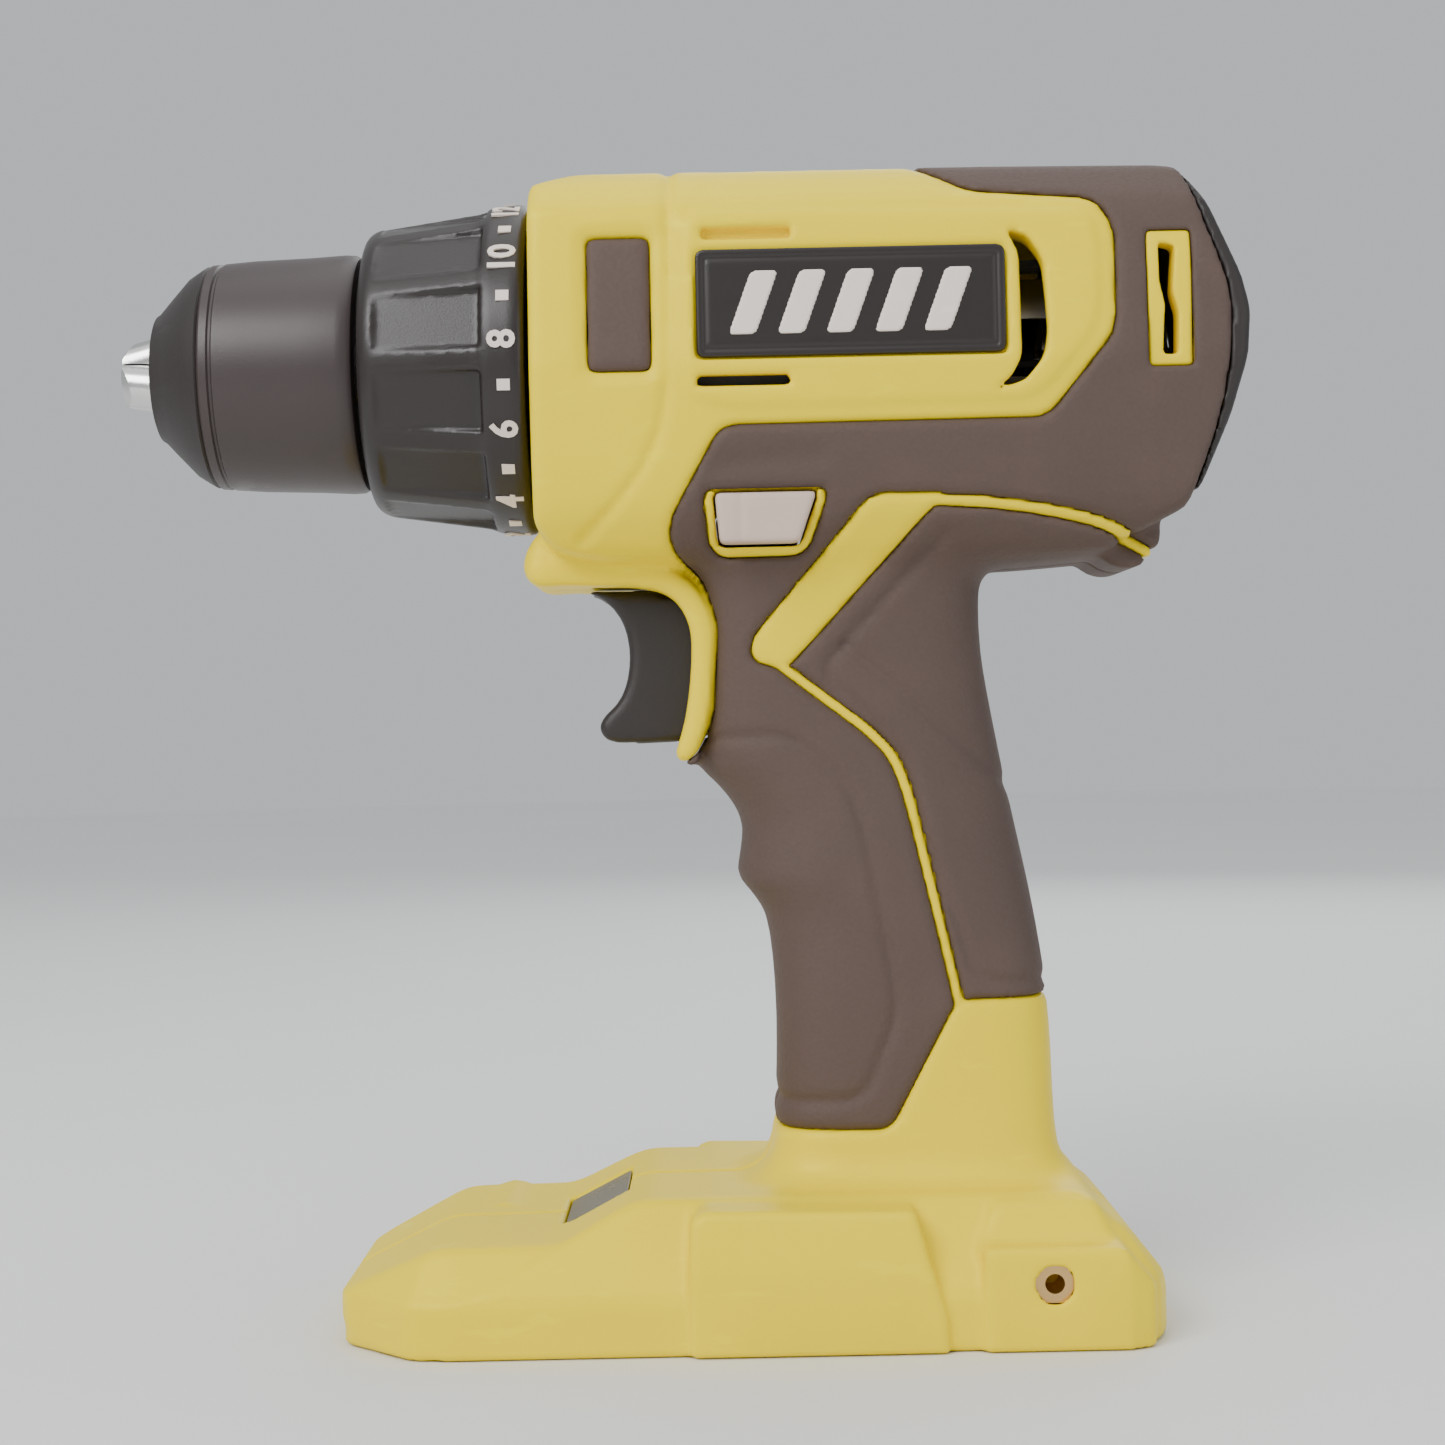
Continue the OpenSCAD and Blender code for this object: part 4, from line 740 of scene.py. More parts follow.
def window_form(g):
    """Windows in the barrel's sides, the selectors' slots, the lamp's and the inserts'."""
    side = np.abs(g.y)
    cut = both(outline(SIDE_VENT, g.u, g.z, 1.2), 12 - side)
    for (a, b, c, e), floor in zip(SLOTS, (HALF_W - 3.8, 12)):
        cut = either(cut, both(brick(g, (a, b), EVERYWHERE, (c, e), 0.3), floor - side))
    low, high = BEZEL
    cut = either(cut, both(brick(g, (low[0] - 0.1, high[0] + 0.1), EVERYWHERE,
                                 (low[2] - 0.1, high[2] + 0.1), 0.4), 16 - side))
    low, high = BADGE
    cut = either(cut, both(brick(g, (low[0], high[0]), EVERYWHERE, (low[2], high[2]), 1.6),
                           HALF_W - BADGE_NEST - side))
    cut = either(cut, outline(BUTTON, g.u, g.z, 1.0) - 0.35 + 0 * side)
    low, high = SPEED
    cut = either(cut, brick(g, (low[0] - 5.6, high[0] + 0.6), (low[1] - 0.6, high[1] + 0.6),
                            (low[2] - 0.4, AXIS_Z + 60), 0.5))
    low, high = LENS
    lamp = both(both(np.abs(g.u - (low[0] + high[0]) / 2) - (high[0] - low[0]) / 2,
                     side - high[1]), -1.0 - lens_height(g))
    cut = either(cut, both(lamp, lens_height(g) - 9))
    low, high = INSERT
    r = np.hypot(g.u - (low[0] + high[0]) / 2, g.z - (low[2] + high[2]) / 2)
    mouth = both(r - 3.1, INSERT_MOUTH - side)
    nest = both(r - 3.75, np.abs(side - INSERT_MOUTH + 4) - 4.1)
    return either(either(cut, mouth), nest)


def screw_form(g):
    """Deep round recesses over the housing screws' heads, on the right side only."""
    cut = None
    for centre in screw_places():
        r = np.sqrt((g.u - centre[0]) ** 2 + (g.z - centre[1]) ** 2)
        one = both(r - SCREW_WELL, 8.0 - g.y)
        cut = one if cut is None else either(cut, one)
    return cut


@functools.lru_cache(maxsize=None)
def screw_places():
    """Distance back and height of each housing screw, from the loose parts of its node."""
    mesh = frame["nodes"]["housing_screws"].data
    spots = {}
    for vertex, root in zip(mesh.vertices, roots(mesh)):
        spots.setdefault(root, []).append(vertex.co)
    centres = [np.mean([(c.x, c.z) for c in spot], axis=0) / MM for spot in spots.values()]
    return tuple((float(u) - FRONT, float(z)) for u, z in centres)


def roots(mesh):
    """For each vertex, one vertex that stands for its loose part."""
    parent = list(range(len(mesh.vertices)))

    def top(i):
        while parent[i] != i:
            parent[i] = parent[parent[i]]
            i = parent[i]
        return i

    for e in mesh.edges:
        parent[top(e.vertices[0])] = top(e.vertices[1])
    return [top(i) for i in range(len(parent))]


@functools.lru_cache(maxsize=None)
def half_fields(side):
    """The lattice of one half, its outside with every groove and rib, and its soft zone."""
    low = [FOOT_FRONT, -FOOT_HALF if side < 0 else 0, 0]
    high = [REAR, 0 if side < 0 else FOOT_HALF, AXIS_Z + TOP]
    g = Lattice(low, high, chosen("pitch"))
    zone = soft_zone(g)
    form = outer_form(g)
    form = form + chosen("seam") * dip(zone, 0.75) * (form > -3)
    upper = g.z > AXIS_Z - 34
    form = form + 0.75 * dip(stroke(FRONT_SEAM, g.u, g.z, 0.0, 5), 0.9) * upper
    form = form + side_relief(g) + top_ribs(g)
    form = form + 0.35 * dip(g.y, 0.55)
    form = form + 0.3 * dip(g.u - cap_edge(g.z), 0.6) * upper
    return g, form, zone


def side_relief(g):
    """The raised side panel, the sunk frame of the pad and the dent over the button."""
    across = np.abs(g.y)
    panel = np.clip(0.5 - outline(SIDE_PANEL, g.u, g.z, 4) / 1.8, 0, 1)
    frame_of_pad = np.clip(2.2 - outline(PAD, g.u, g.z, 1.5), 0, 0.8)
    dent = dip(stroke(DENT, g.u, g.z, 0.0), 2.2)
    return (across > 20) * (0.625 * frame_of_pad - 0.8 * panel) + (across > 16) * 0.55 * dent


def top_ribs(g):
    """Shallow steps along the top, each rising towards the front."""
    start, end, pitch = TOP_RIBS
    step = (g.u - start) % pitch / pitch
    on_top = (g.u > start) & (g.u < end) & (np.abs(g.y) < 17) & (g.z > AXIS_Z + 27)
    return 0.8 * step ** 2 * on_top


def grip_marks(g):
    """Grooves in the soft grips."""
    depth = chosen("grip")
    marks = 0
    for points in (FRONT_GRIP, PALM_GRIP):
        marks = marks + depth * dip(stroke(points, g.u, g.z, 0.0, 4), 1.0)
    return marks + 0.5 * dip(stroke(PALM_CREASE, g.u, g.z, 0.0), 0.9)


def side_of(g, side):
    """The half space of one half of the housing."""
    return g.y if side < 0 else -g.y


def build_shell(side):
    """One yellow half: outside, less the soft skin, the hollow, the windows and the screws."""
    name = "left" if side < 0 else "right"
    g, form, zone = half_fields(side)
    skin = both(zone - 0.04, -(form + chosen("skin")))
    body = both(both(form, -skin), side_of(g, side) + 0.02)
    body = both(body, -hollow_form(g), 0.3)
    body = both(body, -window_form(g), 0.4)
    if side > 0:
        body = both(body, -screw_form(g), 0.3)
    body = both(body, g.u - cap_edge(g.z))
    return add_field(f"{name}_housing", body, g, "housing",
                     material("yellow_plastic"), [f"{name}_shell"], keep=0.45)


def build_overmould(side):
    """The grey skin of one half, with its pad, from the handle up to the rear."""
    name = "left" if side < 0 else "right"
    g, form, zone = half_fields(side)
    body = both(form - 0.12 + grip_marks(g), zone + 0.06, 0.3)
    body = both(both(body, -(form + chosen("skin") - 0.1)), side_of(g, side) + 0.02)
    body = both(body, -window_form(g), 0.4)
    if side > 0:
        body = both(body, -screw_form(g), 0.3)
    body = np.maximum(body, g.u - cap_edge(g.z) + 0.05)
    body = np.maximum(body, 20 - g.z)
    return add_field(f"{name}_soft_grip", body, g, "housing",
                     material("grey_overmould"), [f"{name}_overmould"], keep=0.5)


def build_rear_cap():
    """The dark domed cap, hollow and louvred."""
    g = Lattice([REAR - 20, -HALF_W, AXIS_Z - 36], [REAR, HALF_W, AXIS_Z + TOP], 0.7)
    form = outer_form(g) + 0.35
    body = both(form, cap_edge(g.z) + 0.06 - g.u)
    body = both(body, -(form + 2.4), 0.3)
    for i in range(-2, 3):
        slot = brick(g, (REAR - 20, REAR + 5), (-11, 11),
                     (AXIS_Z + 5 * i - 1.1, AXIS_Z + 5 * i + 1.1), 0.5)
        body = both(body, -slot, 0.5)
    return add_field("rear_end_cap", body, g, "housing",
                     material("dark_plastic"), ["rear_cap"], keep=0.6)


# ------------------------------------------------------------------ small mouldings
def build_badge(side):
    """A dark plate with a fine line inside its rim, sunk in the side panel."""
    name = "left" if side < 0 else "right"
    low, high = box_back(f"{name}_badge_plate")
    g = Lattice(low, high, FINE)
    a, b = low[0], high[0]
    inner = HALF_W - BADGE_NEST + 0.05
    face = inner + 1.0
    plate = outline([(a + 0.4, low[2] + 0.4), (b - 0.4, low[2] + 0.4), (b - 0.4, high[2] - 0.4),
                     (a + 0.4, high[2] - 0.4)], g.u, g.z, 1.4)
    body = both(plate, np.abs(np.abs(g.y) - (inner + face) / 2) - (face - inner) / 2, 0.35)
    rim = np.abs(plate + 1.5)
    body = body + 0.25 * dip(rim, 0.35) * (np.abs(g.y) > (inner + face) / 2)
    add_field(f"{name}_badge", body, g, "housing", material("badge_black"),
              [f"{name}_badge_plate"], keep=0.5)
    build_badge_bars(name, side, a, b, (low[2] + high[2]) / 2, face)


def build_badge_bars(name, side, a, b, middle, face):
    """A plain row of slanting bars, as generic decoration."""
    g = Lattice([a + 3, face - 0.3, middle - 7], [b - 3, face + 0.4, middle + 7], 0.3)
    pitch = (b - a - 12) / 5
    body = None
    for i in range(5):
        x = a + 6 + pitch * (i + 0.5)
        wide = pitch * 0.29
        bar = [(x - wide - 2, middle - 5.4), (x + wide - 2, middle - 5.4),
               (x + wide + 2, middle + 5.4), (x - wide + 2, middle + 5.4)]
        one = both(outline(bar, g.u, g.z, 1.1), np.abs(g.y - face) - 0.22, 0.3)
        body = one if body is None else either(body, one)
    verts, quads = surface(body, g)
    verts[:, 0] += FRONT
    if side < 0:
        verts[:, 1] *= -1
        quads = quads[:, ::-1]
    add_mesh(f"{name}_badge_bars", verts, quads, "housing", material("pale_mark"))


def build_bezel(side):
    """A yellow frame round the narrow rear vent."""
    name = "left" if side < 0 else "right"
    low, high = box_back(f"{name}_vent_bezel")
    g = Lattice(low, high, FINE)
    (a, _, c), (b, _, e) = low, high
    out = HALF_W - 1.0 - np.clip(g.z - (AXIS_Z + 8), 0, 99) ** 2 * 0.012
    body = both(brick(g, (a, b), EVERYWHERE, (c, e), 0.7),
                both(np.abs(g.y) - out, HALF_W - 7.0 - np.abs(g.y)), 0.6)
    middle = (c + e) / 2
    slot = [(a + 2.0, e - 2.0), (b - 2.6, e - 2.6), (b - 3.2, middle + 1.2), (b - 2.2, middle - 2.4),
            (b - 2.4, c + 2.0), (a + 2.4, c + 2.0), (a + 2.9, middle - 1.0), (a + 2.0, middle + 2.8)]
    body = both(body, -outline(slot, g.u, g.z, 0.8), 0.4)
    return add_field(f"{name}_rear_vent", body, g, "housing",
                     material("yellow_plastic"), [f"{name}_vent_bezel"], keep=0.6)


# The trigger in side view as (u, height from its top)
TRIGGER_SIDE = [(1.9, -1.9), (9, -2.6), (13.2, -6.2), (15.0, -11.2), (14.9, -17), (13.2, -21.8),
                (9.9, -24.6), (9.2, -27.2), (11.4, -29.6), (26, -29.2), (26, -5.8), (21, -2.2)]


def build_trigger():
    """A hollowed finger trigger with two side skirts and its push rod."""
    low, high = TRIGGER
    g = Lattice(low, high, 0.4)
    top = high[2] + 2.1
    half = high[1]
    side = outline([(x, top + z) for x, z in TRIGGER_SIDE], g.u, g.z, 3)
    hollow = (half ** 2 - g.y ** 2).clip(0) * 0.012
    body = both(side + hollow * (g.u < 16) * 0.6, np.abs(g.y) - half + 0.1, 2.4)
    back = 25.5
    skirt = both(brick(g, (20, 28.8), (-half + 0.1, half - 0.1), (low[2] + 1, high[2] - 1.6), 0.5),
                 5.6 - np.abs(g.y))
    rod_z = top - 15.5
    body = either(both(body, g.u - back), skirt)
    rod = both(np.sqrt(g.y ** 2 + (g.z - rod_z) ** 2) - 2.0, np.abs(g.u - (back + high[0]) / 2 + 1)
               - (high[0] - back) / 2 - 0.8)
    body = either(body, rod, 0.5)
    line = dip(np.abs(np.abs(g.y) - half + 2.6), 0.45) * 0.3 * (g.u < 17)
    return add_field("finger_trigger", body + line, g, "trigger",
                     material("dark_plastic"), ["trigger"], keep=0.6)


def build_direction_selector():
    """A cross slide with a tapered button at each end."""
    low, high = DIRECTION
    g = Lattice(low, high, 0.5)
    a, b, reach = low[0], high[0], high[1]
    ends = both(outline(BUTTON, g.u, g.z, 1.0), reach - 7.2 - np.abs(g.y), 0.2)
    ends = both(ends, np.abs(g.y) - reach + 1.7 + 0.25 * dip((g.u - a - 4.5), 0.5), 0.9)
    bar = brick(g, (a + 1.5, b - 4.5), (-reach + 4, reach - 4), (low[2] + 0.8, high[2] - 4.5), 0.6)
    return add_field("direction_button", either(ends, bar, 0.5), g, "direction",
                     material("beige_plastic"), ["direction_selector"], keep=0.6)


def build_speed_selector():
    """A flat slider with chevron ribs."""
    low, high = SPEED
    g = Lattice(low, high, 0.4)
    a, b = low[0], high[0]
    w = high[1]
    top = high[2] - 1.3
    body = brick(g, (a, b), (-w, w), (low[2], top), 0.9)
    for i in range(5):
        u = a + 4 + (b - a - 8) * i / 4
        bend = np.abs(g.y) * 0.35
        rib = np.sqrt((g.u - u - bend + 1.2) ** 2 + (g.z - top + 0.1) ** 2) - 1.25
        body = either(body, both(rib, np.abs(g.y) - w + 2.2, 1.0), 0.7)
    slot = brick(g, (a + 6, a + 14), (-3.5, 3.5), (low[2] - 2, low[2] + 2.2))
    return add_field("speed_slider", both(body, -slot), g, "speed",
                     material("yellow_plastic"), ["speed_selector"], keep=0.6)


def build_lens():
    """A frosted block that follows the lamp slope, with a rounded top edge."""
    low, high = LENS
    g = Lattice(low, high, 0.35)
    body = both(np.abs(lens_height(g)) - 0.75,
                np.abs(g.u - (low[0] + high[0]) / 2) - (high[0] - low[0]) / 2 + 0.2, 0.4)
    body = both(body, np.abs(g.y) - high[1] + 0.2, 1.2)
    return add_field("lamp_lens", body, g, "housing", material("clear_lens"),
                     ["led_lens"], keep=0.8)


# ------------------------------------------------------------------ collar and chuck
FLATS = 12
RIM_WIDTH = 7.4
NUMERALS = 12
FIRST_NUMERAL = 8
LAST_NUMERAL = 24
FIRST_PLACE = -87


def build_collar():
    """A tapered collar with flats between its ribs and a smooth rim for the numerals."""
    low, high = COLLAR
    g = Lattice(low, high, 0.5)
    d = g.z - AXIS_Z
    r = np.sqrt(g.y ** 2 + d ** 2)
    a = np.arctan2(g.y, d)
    u0, u1 = low[0], high[0]
    length = u1 - u0
    big = COLLAR_R
    outer = [(u0, 12), (u0, big - 6.6), (u0 + 0.7, big - 4.9), (u0 + 2.6, big - 3.9),
             (u0 + length - RIM_WIDTH - 1, big - 1.3), (u0 + length - RIM_WIDTH + 0.6, big - 0.5),
             (u1 - 1.6, big), (u1, big - 0.5), (u1, 12)]
    shape = outline(outer, g.u, r, 1.2)
    sector = 2 * math.pi / FLATS
    off = np.abs((a / sector + 0.1) % 1 - 0.5) * sector
    flat = both(big - 4.3 + (g.u - u0 - 4) * 0.085 - r * np.cos(off),
                np.abs(g.u - (u0 + 3.2 + u1 - RIM_WIDTH) / 2) - (length - RIM_WIDTH - 3.4) / 2, 0.6)
    flat = both(flat, (off - sector * 0.36) * r, 0.5)
    body = both(shape, -flat, 0.6)
    bore = both(r - (big - 5), (u0 + 5.4) - g.u)
    bore = either(bore, r - 14.5)
    body = both(body, -bore)
    add_field("torque_collar", body, g, "collar", material("collar_plastic"),
              ["clutch_collar"], keep=0.6)
    build_numerals(u1 - RIM_WIDTH / 2 + 0.2, big - 0.12)


def build_numerals(u, r):
    """Even torque numerals with a dot between each pair, laid round the collar's rim."""
    verts, faces = [], []
    step = 360 / NUMERALS
    for i in range(NUMERALS):
        number = (FIRST_NUMERAL - 2 + 2 * i) % LAST_NUMERAL + 2
        lay_on_rim(numeral_mesh(str(number)), FIRST_PLACE + step * i, u, r, verts, faces)
        lay_on_rim(dot_mesh(), FIRST_PLACE + step * (i + 0.5), u, r, verts, faces)
    add_mesh("torque_numerals", verts, faces, "collar", material("pale_mark"),
             smooth=False)


def numeral_mesh(text, height=4.6):
    """A number as a thin flat solid, centred, in millimetres."""
    curve = bpy.data.curves.new("numeral", "FONT")
    curve.body = text
    curve.size = height * 1.4
    curve.offset = 0.18
    curve.extrude = 0.18
    curve.resolution_u = 3
    curve.align_x = "CENTER"
    curve.align_y = "CENTER"
    ob = add_to_scene("numeral", curve)
    solved = ob.evaluated_get(bpy.context.evaluated_depsgraph_get())
    mesh = bpy.data.meshes.new_from_object(solved)
    verts = [tuple(v.co) for v in mesh.vertices]
    faces = [tuple(p.vertices) for p in mesh.polygons]
    bpy.data.objects.remove(ob)
    bpy.data.curves.remove(curve)
    bpy.data.meshes.remove(mesh)
    return verts, faces


def dot_mesh():
    """A short bar between two numerals."""
    w, h, t = 0.95, 1.1, 0.18
    verts = [(x, y, z) for z in (-t, t) for x, y in ((-w, -h), (w, -h), (w, h), (-w, h))]
    faces = [(3, 2, 1, 0), (4, 5, 6, 7)] + [(i, (i + 1) % 4, (i + 1) % 4 + 4, i + 4)
                                            for i in range(4)]
    return verts, faces


def lay_on_rim(mesh, degrees, u, r, verts, faces):
    """Wraps a flat mesh round the rim at an angle from the top, with its top towards the chuck."""
    start = len(verts)
    for x, y, z in mesh[0]:
        a = math.radians(degrees) + x / r
        verts.append((FRONT + u - y, (r + z) * math.sin(a), AXIS_Z + (r + z) * math.cos(a)))
    faces.extend(tuple(start + i for i in face) for face in mesh[1])


def build_chuck():
    """The sleeve and the nose ring, each a turned profile."""
    low, high = SLEEVE[0][0], SLEEVE[1][0]
    big = SLEEVE[1][1]
    front = big - 1.2
    inner = front - 2.4
    sleeve = [(low + 0.1, inner + 0.1), (low, front - 0.5), (low + 0.4, front - 0.1),
              (low + 1.7, front), (low + 2.0, front - 0.35), (low + 2.4, front - 0.35),
              (low + 2.7, front + 0.1), (low + 8, front + 0.5), (high - 9, big - 0.35),
              (high - 3, big), (high - 1.2, big - 0.1), (high - 0.3, big - 0.6), (high, big - 1.4),
              (high, inner + 0.1)]
    verts, faces = lathe(sleeve)
    piece = add_mesh("chuck_grip_sleeve", verts, faces, "sleeve",
                     material("sleeve_plastic"), ["chuck_sleeve"])
    keep_edges(piece)
    n0, n1 = NOSE[0][0], NOSE[1][0]
    tip_r = 11.7
    bore = 8.4
    nose = [(n0 + 0.4, bore), (n0, bore + 0.5), (n0, tip_r - 1.1), (n0 + 0.25, tip_r - 0.4),
            (n0 + 0.9, tip_r), (n0 + 3, tip_r + 2.3), (n1 - 3.6, front - 2.3),
            (n1 - 1.6, front - 1.0), (n1 - 0.5, front - 0.35), (n1, front - 0.7),
            (n1, inner - 1.1), (n0 + 2.4, bore + 1.6), (n0 + 1.6, bore)]
    verts, faces = lathe(nose)
    piece = add_mesh("chuck_nose", verts, faces, "sleeve",
                     material("dark_plastic"), ["nose_ring"])
    keep_edges(piece)


def keep_edges(piece, degrees=32):
    """Splits the shading at edges sharper than an angle."""
    piece.data.set_sharp_from_angle(angle=math.radians(degrees))


# ------------------------------------------------------------------ CAD pieces and stage
OWN_FINISH = {"armature_core": "laminations"}


def finish_cad_nodes():
    """Gives each CAD node the finish of its slot."""
    for row in frame["record"]["subparts"]:
        node = row["node"]
        slot = OWN_FINISH.get(node, row["material_slot"])
        ob = frame["nodes"][node]
        ob.data.materials.clear()
        ob.data.materials.append(material(slot))


# Spring, the piece that presses it, its joint and the travel at the joint's longer limit
PRESSED = (("trigger_spring", "trigger", "trigger_pull", 0.006),
           ("clutch_spring", "clutch_nut", "collar_turn", 0.00217))


def press_springs():
    """Gives each spring a mesh of its own."""
    for spring, presser, joint, travel in PRESSED:
        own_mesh(frame["nodes"][spring])


CAMERA_DISTANCE = 0.45
CAMERA_PLACE = (0.0074, -CAMERA_DISTANCE, 0.1051)
VIEW_WIDTH = 0.2604
CAMERA_ROLL = 1.2
SENSOR = 36.0
LAMPS = (("key", (-0.55, -0.75, 0.75), 0.6, 10.0), ("fill", (0.75, -0.65, 0.35), 0.7, 1.6),
         ("top", (0.1, 0.15, 1.0), 0.8, 2.5), ("back", (0.3, 0.9, 0.6), 0.7, 2.5))
LIT_CENTRE = Vector((0, 0, 0.11))


def build_stage():
    """The floor, the world, the lamps and the camera."""
    add_floor()
    world = bpy.data.worlds.new("studio")
    world.use_nodes = True
    background = world.node_tree.nodes["Background"]
    background.inputs["Color"].default_value = (0.86, 0.89, 0.92, 1)
    background.inputs["Strength"].default_value = 0.66
    bpy.context.scene.world = world
    for name, place, width, power in LAMPS:
        light = bpy.data.lights.new(name, "AREA")
        light.size, light.energy = width, power
        lamp = add_to_scene(name, light)
        lamp.location = place
        lamp.rotation_euler = (LIT_CENTRE - Vector(place)).to_track_quat("-Z", "Y").to_euler()
    sky = bpy.data.lights.new("sky", "SUN")
    sky.energy, sky.angle = 0.5, math.radians(60)
    add_to_scene("sky", sky).rotation_euler = (math.radians(28), math.radians(-18), 0)
    add_camera()


def add_floor(reach=3.0, sides=64, drop=0.0002):
    """A wide round floor, a hair under the foot."""
    turns = [2 * math.pi * i / sides for i in range(sides)]
    mesh = bpy.data.meshes.new("floor")
    mesh.from_pydata([(reach * math.cos(a), reach * math.sin(a), -drop) for a in turns], [],
                     [tuple(range(sides))])
    s = Shader("floor_paint")
    mesh.materials.append(s.set(
        Base_Color=s.mix(s.noise(3.0, 2.0), (0.74, 0.75, 0.75, 1), (0.80, 0.80, 0.79, 1)),
        Roughness=0.75))
    add_to_scene("floor", mesh)


def add_camera():
    """A level camera square to the drill's left side, rolled a little."""
    lens = bpy.data.cameras.new("camera")
    lens.sensor_width = SENSOR
    lens.lens = SENSOR * CAMERA_DISTANCE / VIEW_WIDTH
    camera = add_to_scene("camera", lens)
    camera.matrix_world = (Matrix.Translation(CAMERA_PLACE)
                           @ Matrix.Rotation(math.radians(CAMERA_ROLL), 4, "Y")
                           @ Matrix.Rotation(math.pi / 2, 4, "X"))
    bpy.context.scene.camera = camera


# ------------------------------------------------------------------ operators and panel
SIDES = (-1, 1)


class DRILL_OT_finishes(bpy.types.Operator):
    """Finishes the gears, motor, fasteners and the other inner parts"""
    bl_idname = "drill.finishes"
    bl_label = "Inner parts"
    bl_options = {"REGISTER", "UNDO"}

    def execute(self, context):
        finish_cad_nodes()
        return {"FINISHED"}


class DRILL_OT_springs(bpy.types.Operator):
    """Gives the two springs meshes of their own"""
    bl_idname = "drill.springs"
    bl_label = "Springs"
    bl_options = {"REGISTER", "UNDO"}

    def execute(self, context):
        press_springs()
        return {"FINISHED"}


class DRILL_OT_shells(bpy.types.Operator):
    """Moulds the two halves of the housing"""
    bl_idname = "drill.shells"
    bl_label = "Housing halves"
    bl_options = {"REGISTER", "UNDO"}

    def execute(self, context):
        for side in SIDES:
            build_shell(side)
        return {"FINISHED"}


class DRILL_OT_overmoulds(bpy.types.Operator):
    """Moulds the soft grips of both halves"""
    bl_idname = "drill.overmoulds"
    bl_label = "Soft grips"
    bl_options = {"REGISTER", "UNDO"}

    def execute(self, context):
        for side in SIDES:
            build_overmould(side)
        return {"FINISHED"}


class DRILL_OT_rear_cap(bpy.types.Operator):
    """Moulds the rear end cap"""
    bl_idname = "drill.rear_cap"
    bl_label = "Rear cap"
    bl_options = {"REGISTER", "UNDO"}

    def execute(self, context):
        build_rear_cap()
        return {"FINISHED"}


class DRILL_OT_badges(bpy.types.Operator):
    """Makes the badge plates of both sides"""
    bl_idname = "drill.badges"
    bl_label = "Badges"
    bl_options = {"REGISTER", "UNDO"}

    def execute(self, context):
        for side in SIDES:
            build_badge(side)
        return {"FINISHED"}


class DRILL_OT_bezels(bpy.types.Operator):
    """Makes the rear vent bezels of both sides"""
    bl_idname = "drill.bezels"
    bl_label = "Rear vents"
    bl_options = {"REGISTER", "UNDO"}

    def execute(self, context):
        for side in SIDES:
            build_bezel(side)
        return {"FINISHED"}


class DRILL_OT_trigger(bpy.types.Operator):
    """Moulds the trigger"""
    bl_idname = "drill.trigger"
    bl_label = "Trigger"
    bl_options = {"REGISTER", "UNDO"}

    def execute(self, context):
        build_trigger()
        return {"FINISHED"}


class DRILL_OT_direction(bpy.types.Operator):
    """Moulds the direction selector"""
    bl_idname = "drill.direction"
    bl_label = "Direction selector"
    bl_options = {"REGISTER", "UNDO"}

    def execute(self, context):
        build_direction_selector()
        return {"FINISHED"}


class DRILL_OT_speed(bpy.types.Operator):
    """Moulds the speed selector"""
    bl_idname = "drill.speed"
    bl_label = "Speed selector"
    bl_options = {"REGISTER", "UNDO"}

    def execute(self, context):
        build_speed_selector()
        return {"FINISHED"}


class DRILL_OT_lamp(bpy.types.Operator):
    """Moulds the lamp's lens"""
    bl_idname = "drill.lamp"
    bl_label = "Lamp lens"
    bl_options = {"REGISTER", "UNDO"}

    def execute(self, context):
        build_lens()
        return {"FINISHED"}


class DRILL_OT_collar(bpy.types.Operator):
    """Moulds the torque collar and its numerals"""
    bl_idname = "drill.collar"
    bl_label = "Torque collar"
    bl_options = {"REGISTER", "UNDO"}

    def execute(self, context):
        build_collar()
        return {"FINISHED"}


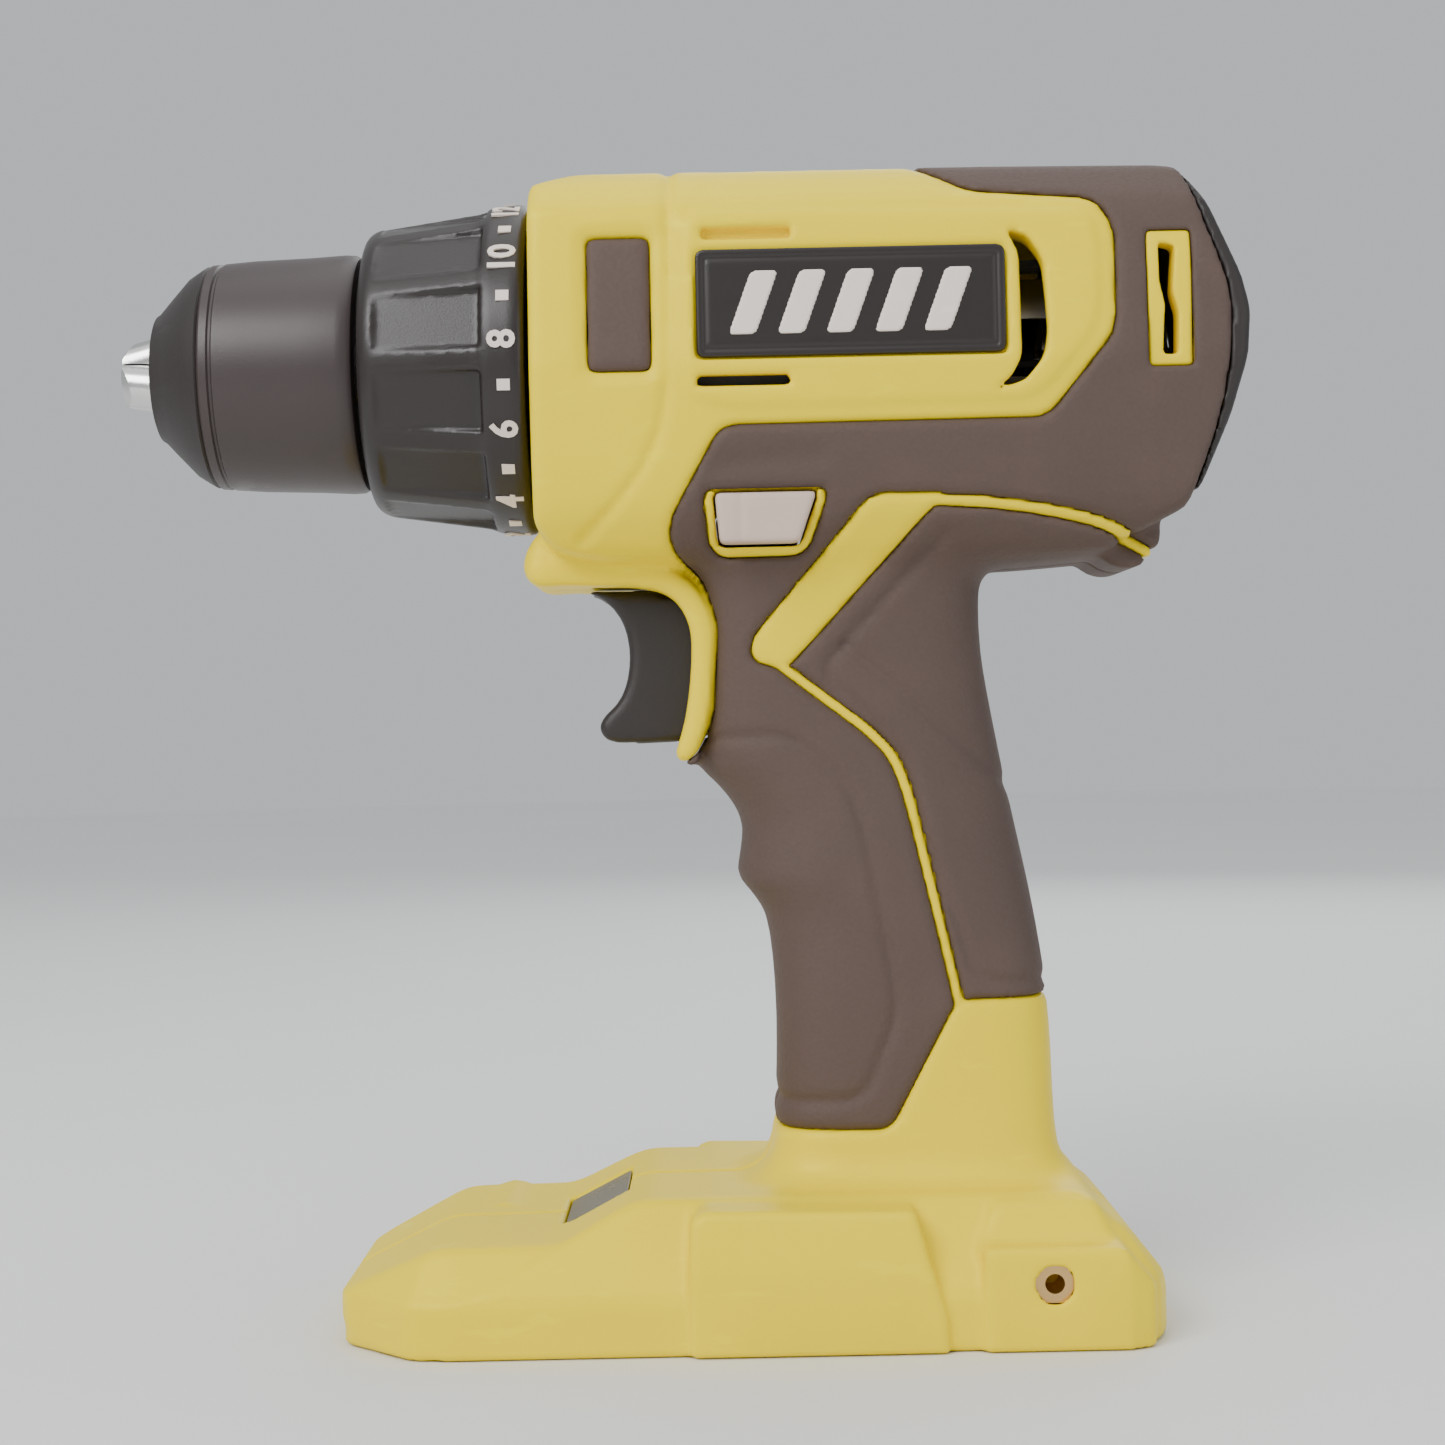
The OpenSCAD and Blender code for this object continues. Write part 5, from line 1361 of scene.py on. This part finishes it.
class DRILL_OT_chuck(bpy.types.Operator):
    """Turns the chuck's sleeve and nose ring"""
    bl_idname = "drill.chuck"
    bl_label = "Chuck sleeve"
    bl_options = {"REGISTER", "UNDO"}

    def execute(self, context):
        build_chuck()
        return {"FINISHED"}


class DRILL_OT_stage(bpy.types.Operator):
    """Sets up the floor, lights and camera"""
    bl_idname = "drill.stage"
    bl_label = "Studio"
    bl_options = {"REGISTER", "UNDO"}

    def execute(self, context):
        build_stage()
        return {"FINISHED"}


STEPS = (
    DRILL_OT_finishes,
    DRILL_OT_springs,
    DRILL_OT_shells,
    DRILL_OT_overmoulds,
    DRILL_OT_rear_cap,
    DRILL_OT_badges,
    DRILL_OT_bezels,
    DRILL_OT_trigger,
    DRILL_OT_direction,
    DRILL_OT_speed,
    DRILL_OT_lamp,
    DRILL_OT_collar,
    DRILL_OT_chuck,
    DRILL_OT_stage,
)


class DRILL_PT_build(bpy.types.Panel):
    """Lists the steps that build the drill."""
    bl_label = "Cordless Drill"
    bl_idname = "DRILL_PT_build"
    bl_space_type = "VIEW_3D"
    bl_region_type = "UI"
    bl_category = "Drill"

    def draw(self, context):
        for group in (context.scene.drill_sizes, context.scene.drill_colours):
            for key in group.__annotations__:
                self.layout.prop(group, key)
        for step in STEPS:
            self.layout.operator(step.bl_idname)


CLASSES = (DrillSizes, DrillColours, *STEPS, DRILL_PT_build)


def register():
    """Adds the classes and the two groups of settings."""
    for cls in CLASSES:
        bpy.utils.register_class(cls)
    bpy.types.Scene.drill_sizes = bpy.props.PointerProperty(type=DrillSizes)
    bpy.types.Scene.drill_colours = bpy.props.PointerProperty(type=DrillColours)


def unregister():
    """Removes what register adds."""
    del bpy.types.Scene.drill_colours
    del bpy.types.Scene.drill_sizes
    for cls in reversed(CLASSES):
        bpy.utils.unregister_class(cls)


def main():
    """Builds everything in order."""
    register()
    for step in STEPS:
        getattr(bpy.ops.drill, step.bl_idname.split(".")[1])()


if __name__ == "__main__":
    main()
